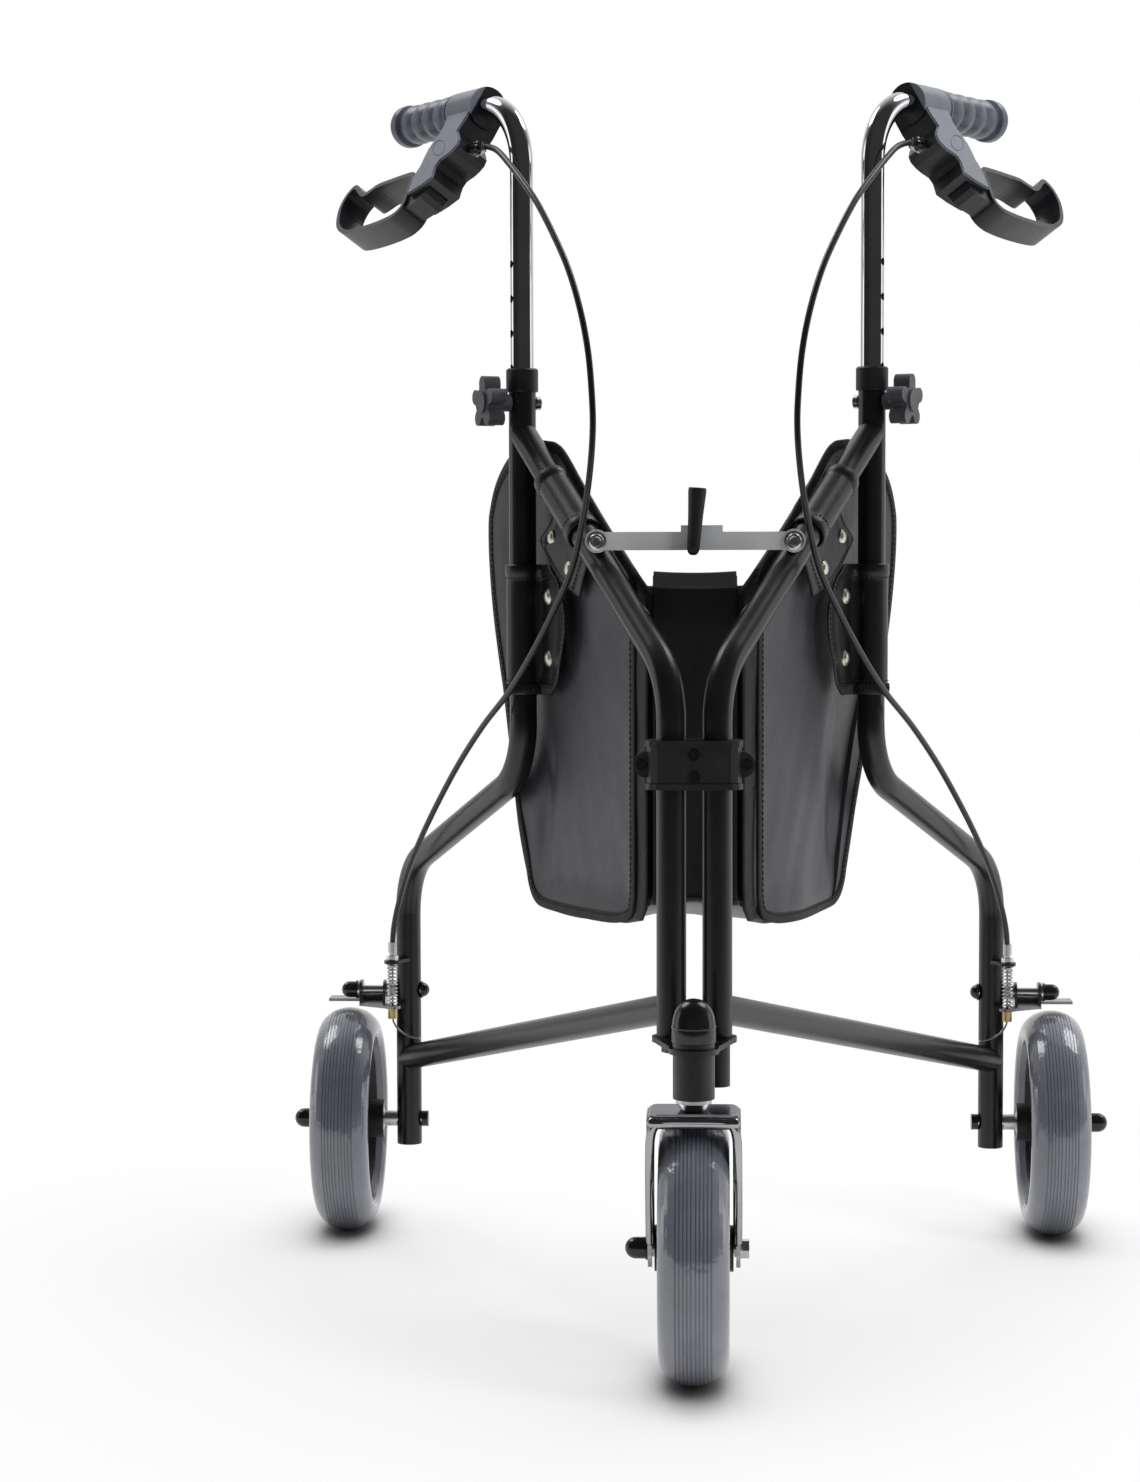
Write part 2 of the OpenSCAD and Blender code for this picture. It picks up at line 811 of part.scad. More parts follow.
// Steel fasteners of one side frame
module frame_bolts(s) {
    color("#b9bcbe")
    side(s) {
        leg_place() {
            translate([0, 0, wheel_r])
                union() {
                    xbar(axle_r, -tube_r - 1, hub_out + 9);
                    difference() {
                        xbar(7, tube_r + 0.2, hub_in - gap);
                        xbar(axle_r - 0.5, 0, 40);
                    }
                }
            translate([0, 0, brake_z])
                union() {
                    xbar(pivot_d / 2, -tube_r - 1, ear_out + 12);
                    difference() {
                        xbar(7, tube_r + 0.2, ear_in - gap);
                        xbar(pivot_d / 2 - 0.5, 0, 40);
                    }
                    xbar(8, ear_out + arm_t + gap, ear_out + arm_t + gap + 1.6);
                }
            translate([wire_x, wire_y, 0]) {
                difference() {
                    union() {
                        translate([0, 0, tab_z - 4])
                            cylinder(r = 3, h = 22);
                        translate([0, 0, tab_z + 3 + touch])
                            cylinder(r = 5.2, h = 4, $fn = 6);
                        translate([0, 0, tab_z + 10])
                            cylinder(r = 4, h = 9);
                    }
                    translate([0, 0, tab_z - 5])
                        cylinder(r = 1.4, h = 16);
                    translate([0, 0, tab_z + 10.5])
                        cylinder(r = cable_r + touch, h = 20);
                }
            }
        }
        stay_boss_place()
            union() {
                translate([0, 0, tube_r / 2 + 2])
                    cylinder(r = 3, h = link_y(s) + stay_t + gap - 1.5 - tube_r / 2);
                translate([0, 0, link_y(s) + stay_t + gap])
                    rotate_extrude()
                        polygon([[0, 0], [7.4, 0], [7.4, 1.2], [6, 1.6], [5.8, 3], [4.9, 4],
                            [3.6, 4.2], [2.9, 3.6], [2.6, 1.8], [0, 1.8]]);
            }
        frame_plane()
            translate([sleeve_r, 0, knob_z])
                rotate([-90, 0, 0])
                    difference() {
                        union() {
                            translate([0, 0, tube_r - 0.9])
                                cylinder(r = 4, h = 2);
                            translate([0, 0, tube_r + 0.4])
                                cylinder(r = 5.5, h = 3.6);
                        }
                    }
    }
}
// Plastic caps, plugs and bushes of one side frame
module plastic_caps(s) {
    color("#141416")
    side(s) {
        leg_place() {
            translate([hub_out + gap, 0, wheel_r])
                rotate([0, 90, 0])
                    dome_nut(8.5, 17, axle_r + touch);
            translate([-tube_r - 0.2, 0, wheel_r])
                rotate([0, -90, 0])
                    difference() {
                        cylinder(r = 7, h = 6);
                        translate([0, 0, -1])
                            cylinder(r = axle_r + touch, h = 3);
                    }
            translate([ear_out + arm_t + gap + 1.6 + touch, 0, brake_z])
                rotate([0, 90, 0])
                    dome_nut(7.2, 15, pivot_d / 2 + touch);
            translate([-tube_r - 0.2, 0, brake_z])
                rotate([0, -90, 0])
                    dome_nut(6.5, 7.5, pivot_d / 2 + touch);
            translate([0, 0, leg_bottom - 1.2])
                union() {
                    cylinder(r = tube_r, h = 1.2 - touch);
                    cylinder(r = tube_ri - touch, h = 8);
                }
        }
        if (s < 0)
            translate([hinge_gap, hinge_y, tube_bottom])
                difference() {
                    cylinder(r = tube_ri - touch, h = 44);
                    translate([0, 0, -1])
                        cylinder(r = 4 + run, h = 46);
                }
    }
}
// A point of the lever plane, in the plane of the side frame
function lever_point(l, y, h) =
    let (v = y * cos(lever_roll) + h * sin(lever_roll))
    [sleeve_r + l * cos(splay) + v * sin(splay), v * cos(splay) - l * sin(splay),
        bar_z - y * sin(lever_roll) + h * cos(lever_roll)];
// Brake cable route: from its ferrule forward along the frame, outward of it, and down
cable_route = [
    lever_point(clamp_l - 24.9 - touch, lever_mid, -cable_h), lever_point(clamp_l - 28, lever_mid, -cable_h),
    lever_point(clamp_l - 34, lever_mid, -cable_h),
    [272, -22.8, 935.5], [250, -24, 925], [220, -25.4, 908], [185, -26, 885], [152, -26, 856],
    [125, -26, 828], [104, -26, 797], [90, -26, 766], [83, -26, 735], [83, -25, 704],
    [92, -24, 668], [108, -23, 632], [130, -22, 598], [164, -22, 566], [206, -22, 532], [252, -22, 500],
    [308, -22, 469], [362, -22, 434], [412, -22, 396], [452, -22, 362], [484, -22, 330],
    [508, -21.8, 298], [519, -21.6, 278], [522.5, -21.5, 264]
];
module brake_cable(s) {
    color("#121214")
    side(s)
        frame_plane()
            sweep(smooth(cable_route, 3), cable_r, 8);
}
// Return spring around the brake wire
wire_r = 0.9;
spring_turns = 11;
spring_r = 4;
spring_wire = 0.65;
module brake_spring(s) {
    z0 = lug_z + arm_t + spring_wire + 0.3;
    z1 = tab_z - spring_wire - 0.3;
    n = spring_turns * 8;
    p = [for (i = [0:n])
        let (t = i / n)
        let (a = 360 * spring_turns * t)
        [wire_x + (spring_r + 0.6 * t) * cos(a), wire_y + (spring_r + 0.6 * t) * sin(a),
            z0 + (z1 - z0) * t]];
    tail0 = p[0] - unit(p[1] - p[0]) * 2 * spring_wire;
    tail1 = p[n] + unit(p[n] - p[n - 1]) * 2 * spring_wire;
    least = min([for (i = [0:n - 8]) norm(p[i + 8] - p[i])]) - 2 * spring_wire;
    echo(spring_least_gap = least);
    color("#c2c5c7")
    side(s)
        leg_place()
            sweep(concat([tail0], p, [tail1]), spring_wire, 6);
}

// Bag side panel with its two straps
panel_in = tube_r + panel_gap;
strap_t = 1.6;
strap_z = 496;
strap_len = 106;
strap_r = 154;
strap_w = 78;
strap_flap = 64;
panel_edge = [
    [66, 583], [84, 594], [120, 618], [157, 644], [190, 668], [222, 692], [240, 700], [254, 702],
    [275, 703], [300, 700], [320, 694], [338, 683], [353, 668], [362, 650], [366, 630], [366, 600],
    [361, 560], [352, 520], [342, 485], [330, 445], [317, 400], [303, 355], [296, 336], [284, 324],
    [262, 320], [200, 320], [140, 322], [100, 326], [80, 330], [72, 340], [70, 360], [70, 450], [69, 540]
];
module bag_panel(s) {
    color("#5b606b")
    side(s)
        frame_plane()
            union() {
                translate([0, panel_in + bag_t, 0])
                    rotate([90, 0, 0])
                        linear_extrude(bag_t)
                            polygon(panel_edge);
                // strap round the sleeve
                translate([sleeve_r, 0, strap_z])
                    strap(strap_len, -1);
                // strap round the diagonal
                translate([strap_r, 0, front_bend_z + diag_slope * strap_r])
                    rotate([0, 90 - diagonal_rise, 0])
                        strap(strap_w, 1);
            }
}
// Strap round a tube with a flap toward -X or +X that lies on the panel
module strap(len, d) {
    difference() {
        union() {
            cylinder(r = tube_r + gap + strap_t, h = len);
            translate([d > 0 ? 0 : -strap_flap, panel_in - strap_t, 0])
                cube([strap_flap, strap_t + 0.4, len]);
            translate([d > 0 ? 0 : -tube_r - 1, tube_r - 4, 0])
                cube([tube_r + 1, panel_in - tube_r + 4, len]);
        }
        translate([0, 0, -1])
            cylinder(r = tube_r + gap, h = len + 2);
    }
}

// Handles
module handle_stem(s) {
    color("#d0d3d5")
    side(s)
        difference() {
            handle_place()
                translate([0, 0, stem_bottom - bar_z])
                    bent_tube(bar_z - bend_hr - stem_bottom, -90, grip_end - 4 - bend_hr,
                        bend_hr, stem_r, stem_r - 1.5);
            frame_plane()
                for (i = [-4:4])
                    translate([sleeve_r, 0, knob_z + i * hole_pitch])
                        rotate([90, 0, 0])
                            cylinder(r = 3.2, h = 40, center = true);
        }
}
module hand_grip(s) {
    g = grip_d / 2;
    a = clamp_l + 39.3;
    e = grip_end;
    n = 4;
    step = (e - a - 22) / n;
    color("#2b2b2e")
    side(s)
        handle_place()
            rotate([0, 90, 0])
                rotate_extrude()
                    polygon(concat([[stem_r + touch, a], [g, a], [g + 1.2, a + 1.5], [g + 1.2, a + 4],
                        [g - 0.6, a + 5.5]],
                        [for (i = [0:n - 1]) for (t = [0:0.125:0.875])
                            [g - 1.2 + 1.8 * sin(180 * t), a + 7 + (i + t) * step]],
                        [[g - 1.2, e - 15], [g - 1.6, e - 13], [g + 1.6, e - 11.5], [g + 2, e - 9],
                        [g + 1.8, e - 4], [g + 0.6, e - 1.4], [g - 2, e], [0, e], [0, e - 3.5],
                        [stem_r + touch, e - 3.5]]));
}
// Outline points are along the bar from its clamp and above it, in the lever plane
housing_edge = [
    [0, 4], [10, 9], [24, 11], [33, 10.5], [38, 7], [39, 1], [37, -6], [34, -14], [32, -21], [31.6, -28],
    [34, -36], [36.4, -45], [35.6, -54], [34.2, -61], [35, -67], [35, -73], [32.6, -81], [29.6, -90.5],
    [22, -88], [12, -84], [0.6, -77.4], [3, -72], [5.4, -66], [4, -60.4], [-4, -56.4], [-9.4, -52],
    [-12.4, -46.8], [-11, -41], [-5, -35.6], [1.4, -30.6], [0.4, -25], [-1, -18], [-0.6, -6]
];
cheek_cut = [
    [7.5, -57], [29, -57], [37, -51], [60, -51], [60, -110], [7.5, -110]
];
module lever_plate(pts, y0, y1) {
    translate([clamp_l, y1, 0])
        rotate([90, 0, 0])
            linear_extrude(y1 - y0)
                polygon(pts);
}
module lever_housing(s) {
    slot = 10.5;
    color("#232326")
    side(s)
        lever_place()
            difference() {
                union() {
                    xbar(17.5, clamp_l - 3, clamp_l + 38);
                    lever_plate(housing_edge, -cover_o + 1.2, inner_o);
                    lever_plate(inset(housing_edge, 0.9), -cover_o, 0);
                }
                xbar(stem_r + touch, 0, 140);
                lever_plate(cheek_cut, lever_mid - slot, lever_mid + slot);
                translate([piv_l, 0, -piv_d])
                    rotate([90, 0, 0])
                        translate([0, 0, -inner_o - 1])
                            cylinder(r = 3 + touch, h = inner_o + cover_o - 2);
                translate([0, lever_mid, -cable_h])
                    xbar(4 + touch, 20, clamp_l + 14);
                // bare oval place on the outer face
                translate([clamp_l + 17, -cover_o, -46.4])
                    rotate([90, -29, 0])
                        scale([2.2, 1, 1])
                            difference() {
                                cylinder(r = 6.4, h = 1, center = true);
                                cylinder(r = 5.8, h = 2, center = true);
                            }
            }
}
module lever_hardware(s) {
    f = clamp_l - 12.4;
    color("#c8cbcd")
    side(s)
        lever_place()
            union() {
                translate([piv_l, 0, -piv_d])
                    rotate([90, 0, 0])
                        translate([0, 0, -inner_o - 0.4])
                            cylinder(r = 3, h = inner_o + cover_o - 3);
                translate([0, lever_mid, -cable_h])
                    difference() {
                        union() {
                            xbar(4, f - 10, clamp_l + 13);
                            xhex(12, f - 4.4, f - touch);
                            xbar(5.6, f - 7, f - 5);
                            xbar(5, f - 12.5, f - 8);
                        }
                        xbar(1.4, 0, 100);
                        xbar(cable_r + touch, 0, f - 9.5);
                    }
            }
}
// Loop of the lever in the same plane, run clockwise
loop_edge = [
    [50, -64.2], [64, -65], [83, -67], [103, -69.5], [114, -74.3], [121, -76.4], [130, -73],
    [139, -68], [146.5, -65.4], [152, -67.4], [156.7, -76], [155.5, -88.7], [147.5, -101.7], [138.5, -110.4],
    [127, -116.3], [114, -119.5], [91, -119], [68, -116.7], [51, -113.6], [41, -110.5], [34, -104.5],
    [32.5, -97], [35.8, -87], [39.2, -78], [40.6, -71], [43.6, -66.2]
];
loop_t = 4.2;
root_edge = [
    [11, -70], [15, -67.5], [25, -67], [42.7, -70], [41.3, -78], [38, -87.5], [34.7, -97],
    [35.3, -101], [28, -99.5], [13, -93], [9.5, -88], [9.5, -78]
];
module brake_lever(s) {
    root = 9.9;
    band = 12.5;
    color("#1b1b1d")
    side(s)
        lever_place()
            difference() {
                union() {
                    lever_plate(root_edge, lever_mid - root, lever_mid + root);
                    difference() {
                        lever_plate(ring(loop_edge, 3), lever_mid - band, lever_mid + band);
                        lever_plate(ring(inset(loop_edge, loop_t), 3), lever_mid - band - 1, lever_mid + band + 1);
                    }
                }
                translate([piv_l, 0, -piv_d])
                    rotate([90, 0, 0])
                        cylinder(r = 3 + run / 2, h = 60, center = true);
            }
}
module height_knob(s) {
    color("#202023")
    side(s)
        frame_plane()
            translate([sleeve_r, -tube_r - 0.4, knob_z])
                rotate([90, 0, 0])
                    union() {
                        cylinder(r = 7, h = 10);
                        translate([0, 0, 10])
                            linear_extrude(14) {
                                circle(r = 12);
                                for (a = [0:72:288])
                                    rotate([0, 0, a + 90]) {
                                        translate([15.5, 0])
                                            circle(r = 6);
                                        translate([0, -6])
                                            square([15.5, 12]);
                                    }
                            }
                        translate([0, 0, 24])
                            cylinder(r = 9, h = 2);
                        translate([0, 0, -tube_wall])
                            cylinder(r = 3.6, h = 4);
                    }
}

// Brake arm that swings about the pivot bolt
module brake_arm(s) {
    color("#b4b7ba")
    side(s)
        leg_place()
            difference() {
                union() {
                    for (x = [ear_in, ear_out])
                        translate([x, 0, brake_z])
                            rotate([90, 0, 90])
                                linear_extrude(arm_t) {
                                    circle(r = 9);
                                    polygon([[-9, 0], [9, 0], [12, lug_z - brake_z],
                                        [-12, lug_z - brake_z]]);
                                }
                    translate([ear_in, -12, lug_z])
                        cube([ear_out - ear_in + arm_t, 24, arm_t]);
                    translate([ear_in, 9.5, lug_z])
                        cube([ear_out - ear_in + arm_t, arm_t, 8]);
                    // lug under the return spring
                    translate([0, 0, lug_z])
                        linear_extrude(arm_t) {
                            translate([wire_x, wire_y])
                                circle(r = 7);
                            polygon([[wire_x - 7, wire_y], [wire_x + 6.5, wire_y - 2.5],
                                [ear_out, -12], [ear_out, -8], [ear_in, -8]]);
                        }
                    // shoe plate over the tyre
                    translate([ear_out, 4, lug_z + 2])
                        cube([32, 20, arm_t]);
                }
                translate([0, 0, brake_z])
                    xbar(pivot_d / 2 + run, 0, 80);
                translate([wire_x, wire_y, lug_z - 5])
                    cylinder(r = 1.6, h = 20);
            }
}
module cable_nipple(s) {
    tail = [[0, 0, lug_z - 9], [-1, 0, lug_z - 13], [-5, -0.5, lug_z - 19], [-12, -2, lug_z - 23.5],
        [-19, -5, lug_z - 25.5], [-25, -9, lug_z - 25.5]];
    color("#b08a4a")
    side(s)
        leg_place()
            translate([wire_x, wire_y, 0])
                union() {
                    translate([0, 0, lug_z - 9.2])
                        cylinder(r = 4.2, h = 8.7);
                    sweep(smooth(tail, 4), wire_r, 8);
                }
}
// Bare wire between adjuster and nipple
module brake_wire(s) {
    color("#c6c9cb")
    side(s)
        leg_place()
            translate([wire_x, wire_y, lug_z - 0.4])
                cylinder(r = wire_r, h = tab_z + 9 - lug_z);
}

// Folding stay, links hinged on the diagonals
module link_place(s) {
    stay_boss_place()
        translate([0, 0, link_y(s)])
            children();
}
module stay_link(s) {
    span = stay_x - boss_in;
    reach = s < 0 ? span + 21 : span - 12;
    color("#b2b5b7")
    side(s)
        link_place(s)
            difference() {
                union() {
                    linear_extrude(stay_t) {
                        circle(r = 9);
                        translate([-reach, -stay_w / 2])
                            square([reach, stay_w]);
                        if (s < 0)
                            translate([-reach, 0])
                                square([32, stay_w / 2 + 5]);
                    }
                    // lip that rests on the other link when the stay is straight
                    if (s < 0)
                        translate([-reach, stay_w / 2 + gap, -stay_t - 0.6])
                            cube([32, 2, stay_t + 0.7]);
                }
                translate([0, 0, -1])
                    cylinder(r = 3 + run / 2, h = stay_t + 2);
            }
}
module stay_handle() {
    color("#17171a")
    mirror([1, 0, 0])
        link_place(-1)
            translate([-stay_x + boss_in + 1, 0, stay_t + 6.6])
                rotate([-90, 0, 0])
                    rotate([0, -4, 0])
                        rotate_extrude()
                            polygon([[0, -11], [2.5, -10.6], [4, -9], [4.9, -6], [5, 0], [5.8, 20],
                                [7, 38], [6.8, 40], [6.2, 40.6], [5.2, 40.6], [4.8, 34], [0, 33]]);
}

head_barrel();
barrel_cap();
head_bearings();
hinge_pins();
clamp_front();
clamp_rear();
clamp_screws();
bag_shell();
caster_fork();
caster_stem();
front_axle();
front_axle_cap();
front_tyre();
front_rim();
front_bearings();
stay_handle();
front_tube(1);  // left_front_tube
rear_tube(1);  // left_rear_tube
lower_tube(1);  // left_lower_tube
sleeve_collar(1);  // left_sleeve_collar
frame_bolts(1);  // left_frame_bolts
plastic_caps(1);  // left_plastic_caps
brake_cable(1);  // left_brake_cable
brake_spring(1);  // left_brake_spring
bag_panel(1);  // left_bag_panel
handle_stem(1);  // left_handle_stem
hand_grip(1);  // left_hand_grip
lever_housing(1);  // left_lever_housing
lever_hardware(1);  // left_lever_hardware
brake_lever(1);  // left_brake_lever
height_knob(1);  // left_height_knob
brake_arm(1);  // left_brake_arm
cable_nipple(1);  // left_cable_nipple
brake_wire(1);  // left_brake_wire
tyre(1);  // left_tyre
rim(1);  // left_rim
bearings(1);  // left_bearings
stay_link(1);  // left_stay_link
front_tube(-1);  // right_front_tube
rear_tube(-1);  // right_rear_tube
lower_tube(-1);  // right_lower_tube
sleeve_collar(-1);  // right_sleeve_collar
frame_bolts(-1);  // right_frame_bolts
plastic_caps(-1);  // right_plastic_caps
brake_cable(-1);  // right_brake_cable
brake_spring(-1);  // right_brake_spring
bag_panel(-1);  // right_bag_panel
handle_stem(-1);  // right_handle_stem
hand_grip(-1);  // right_hand_grip
lever_housing(-1);  // right_lever_housing
lever_hardware(-1);  // right_lever_hardware
brake_lever(-1);  // right_brake_lever
height_knob(-1);  // right_height_knob
brake_arm(-1);  // right_brake_arm
cable_nipple(-1);  // right_cable_nipple
brake_wire(-1);  // right_brake_wire
tyre(-1);  // right_tyre
rim(-1);  // right_rim
bearings(-1);  // right_bearings
stay_link(-1);  // right_stay_link
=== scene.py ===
import math
import bmesh
import bpy
from mathutils import Vector, Matrix, noise


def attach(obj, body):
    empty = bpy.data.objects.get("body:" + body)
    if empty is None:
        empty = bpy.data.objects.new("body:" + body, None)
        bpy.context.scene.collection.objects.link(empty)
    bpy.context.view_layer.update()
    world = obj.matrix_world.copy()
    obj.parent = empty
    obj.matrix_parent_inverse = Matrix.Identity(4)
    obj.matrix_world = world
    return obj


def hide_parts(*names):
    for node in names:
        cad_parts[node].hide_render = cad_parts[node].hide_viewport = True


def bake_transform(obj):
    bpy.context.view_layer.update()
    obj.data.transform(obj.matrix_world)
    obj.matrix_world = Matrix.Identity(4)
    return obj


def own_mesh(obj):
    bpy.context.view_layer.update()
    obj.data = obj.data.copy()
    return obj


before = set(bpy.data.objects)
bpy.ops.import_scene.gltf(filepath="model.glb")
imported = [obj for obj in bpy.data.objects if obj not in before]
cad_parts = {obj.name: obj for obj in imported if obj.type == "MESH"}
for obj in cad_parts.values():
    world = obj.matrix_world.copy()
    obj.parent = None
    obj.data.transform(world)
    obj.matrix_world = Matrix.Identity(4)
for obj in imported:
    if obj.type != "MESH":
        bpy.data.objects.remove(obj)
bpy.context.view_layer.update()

# Places: the same sizes as the solids, in metres.
FRAME_ANGLE = math.radians(27)
SA, CA = math.sin(FRAME_ANGLE), math.cos(FRAME_ANGLE)
LEG_R, SLEEVE_R, HINGE = 0.539, 0.275, 0.017
BARREL_AHEAD, CASTER_TRAIL = 0.053, 0.030
HINGE_Y = -(LEG_R * CA - BARREL_AHEAD + CASTER_TRAIL) / 2
BARREL_Y = HINGE_Y - BARREL_AHEAD
TUBE = 0.0111
PANEL_GAP, BAG_T, BAG_CLEAR = 0.0022, 0.0024, 0.0003
PANEL = TUBE + PANEL_GAP
REAR_SPACER, RUN_GAP, REAR_HUB = 0.011, 0.0005, 0.064
BEND_Z, JOIN_Z = 0.520, 0.709
RISE = math.atan((JOIN_Z - BEND_Z) / SLEEVE_R)
LEG = Vector((HINGE + LEG_R * SA, HINGE_Y + LEG_R * CA, 0))
REAR_X = LEG.x + TUBE + REAR_SPACER + RUN_GAP + REAR_HUB / 2
BRAKE_Z = 0.2175
TAB_Z = BRAKE_Z + 0.027
LUG_Z = BRAKE_Z - 0.0135
WIRE = Vector((0.012, -0.024, 0))
SIDES = (("left", 1), ("right", -1))


def at_frame(r, off, z, s):
    """Point of a side frame: along it from the hinge, outward of its plane, and up."""
    return Vector((s * (HINGE + r * SA + off * CA), HINGE_Y + r * CA - off * SA, z))


def at_leg(x, y, z, s):
    """Point beside a rear leg."""
    return Vector((s * (LEG.x + x), LEG.y + y, z))


SPLAY, ROLL, BAR_Z = math.radians(8), math.radians(32), 0.977
LEVER = (Matrix.Rotation(math.pi / 2 - FRAME_ANGLE, 3, "Z") @ Matrix.Rotation(-SPLAY, 3, "Z")
         @ Matrix.Rotation(-ROLL, 3, "X"))
BAR = at_frame(SLEEVE_R, 0, BAR_Z, 1)


def at_lever(l, o, h, s):
    """Point of a handle: along the bar, outward of the lever plane, and up in it."""
    p = BAR + LEVER @ Vector((l, -o, h))
    return Vector((s * p.x, p.y, p.z))


# meshes
def mesh(name, verts, faces, mat, smooth=True):
    me = bpy.data.meshes.new(name)
    me.from_pydata([tuple(v) for v in verts], [], faces)
    me.validate()
    me.update()
    for p in me.polygons:
        p.use_smooth = smooth
    ob = bpy.data.objects.new(name, me)
    bpy.context.scene.collection.objects.link(ob)
    me.materials.append(mat)
    return ob


def outward(ob):
    """Turn every face of a closed piece outward."""
    bm = bmesh.new()
    bm.from_mesh(ob.data)
    bmesh.ops.recalc_face_normals(bm, faces=bm.faces)
    bm.to_mesh(ob.data)
    bm.free()
    return ob


def smooth_line(pts, k, closed=False):
    """Smooth curve through points of any dimension, k steps to each span."""
    n = len(pts)
    out = []
    last = n if closed else n - 1
    for i in range(last):
        if closed:
            a, b, c, d = pts[i - 1], pts[i], pts[(i + 1) % n], pts[(i + 2) % n]
        else:
            a, b, c, d = pts[max(i - 1, 0)], pts[i], pts[i + 1], pts[min(i + 2, n - 1)]
        for j in range(k):
            t = j / k
            out.append(tuple(
                b[m] + 0.5 * (t * (c[m] - a[m]) + t * t * (2 * a[m] - 5 * b[m] + 4 * c[m] - d[m])
                              + t * t * t * (3 * b[m] - a[m] - 3 * c[m] + d[m]))
                for m in range(len(b))))
    if not closed:
        out.append(tuple(pts[-1]))
    return out


def sweep(path, section, closed=False, up=None):
    """Vertices and faces of a section carried along a path; the section is a list of (n, b)."""
    path = [Vector(p) for p in path]
    n, m = len(path), len(section)
    verts, faces = [], []
    norm = None
    for i, p in enumerate(path):
        a = path[i - 1] if (i or closed) else path[0]
        b = path[(i + 1) % n] if (i < n - 1 or closed) else path[-1]
        t = (b - a).normalized()
        if up is not None:
            norm = up(i) if callable(up) else Vector(up)
        elif norm is None:
            norm = Vector((0, 0, 1)) if abs(t.z) < 0.9 else Vector((1, 0, 0))
        norm = (norm - norm.dot(t) * t).normalized()
        bi = t.cross(norm)
        verts += [p + norm * u + bi * v for u, v in section]
    spans = n if closed else n - 1
    for i in range(spans):
        for j in range(m):
            q = ((i + 1) % n) * m
            faces.append((i * m + j, i * m + (j + 1) % m, q + (j + 1) % m, q + j))
    if not closed:
        faces.append(tuple(reversed(range(m))))
        faces.append(tuple(range((n - 1) * m, n * m)))
    return verts, faces


def circle(r, k, rb=None):
    rb = r if rb is None else rb
    return [(r * math.cos(2 * math.pi * i / k), rb * math.sin(2 * math.pi * i / k)) for i in range(k)]


class Heap:
    """Collects several shapes into one mesh."""

    def __init__(self):
        self.v, self.f = [], []

    def add(self, vf):
        v, f = vf
        n = len(self.v)
        self.v += list(v)
        self.f += [tuple(n + i for i in q) for q in f]


def lathe(profile, origin, axis, k=28):
    """Closed turned shape: profile is (radius, height) from one end of the axis to the other."""
    axis = Vector(axis).normalized()
    u = axis.orthogonal().normalized()
    w = axis.cross(u)
    verts, faces, rings = [], [], []
    for r, h in profile:
        c = Vector(origin) + axis * h
        if r < 1e-7:
            rings.append([len(verts)])
            verts.append(c)
        else:
            rings.append(list(range(len(verts), len(verts) + k)))
            verts += [c + (u * math.cos(2 * math.pi * i / k) + w * math.sin(2 * math.pi * i / k)) * r
                      for i in range(k)]
    for a, b in zip(rings, rings[1:]):
        if len(a) == 1 and len(b) == 1:
            continue
        for i in range(k):
            j = (i + 1) % k
            if len(a) == 1:
                faces.append((a[0], b[j], b[i]))
            elif len(b) == 1:
                faces.append((a[i], a[j], b[0]))
            else:
                faces.append((a[i], a[j], b[j], b[i]))
    return verts, faces


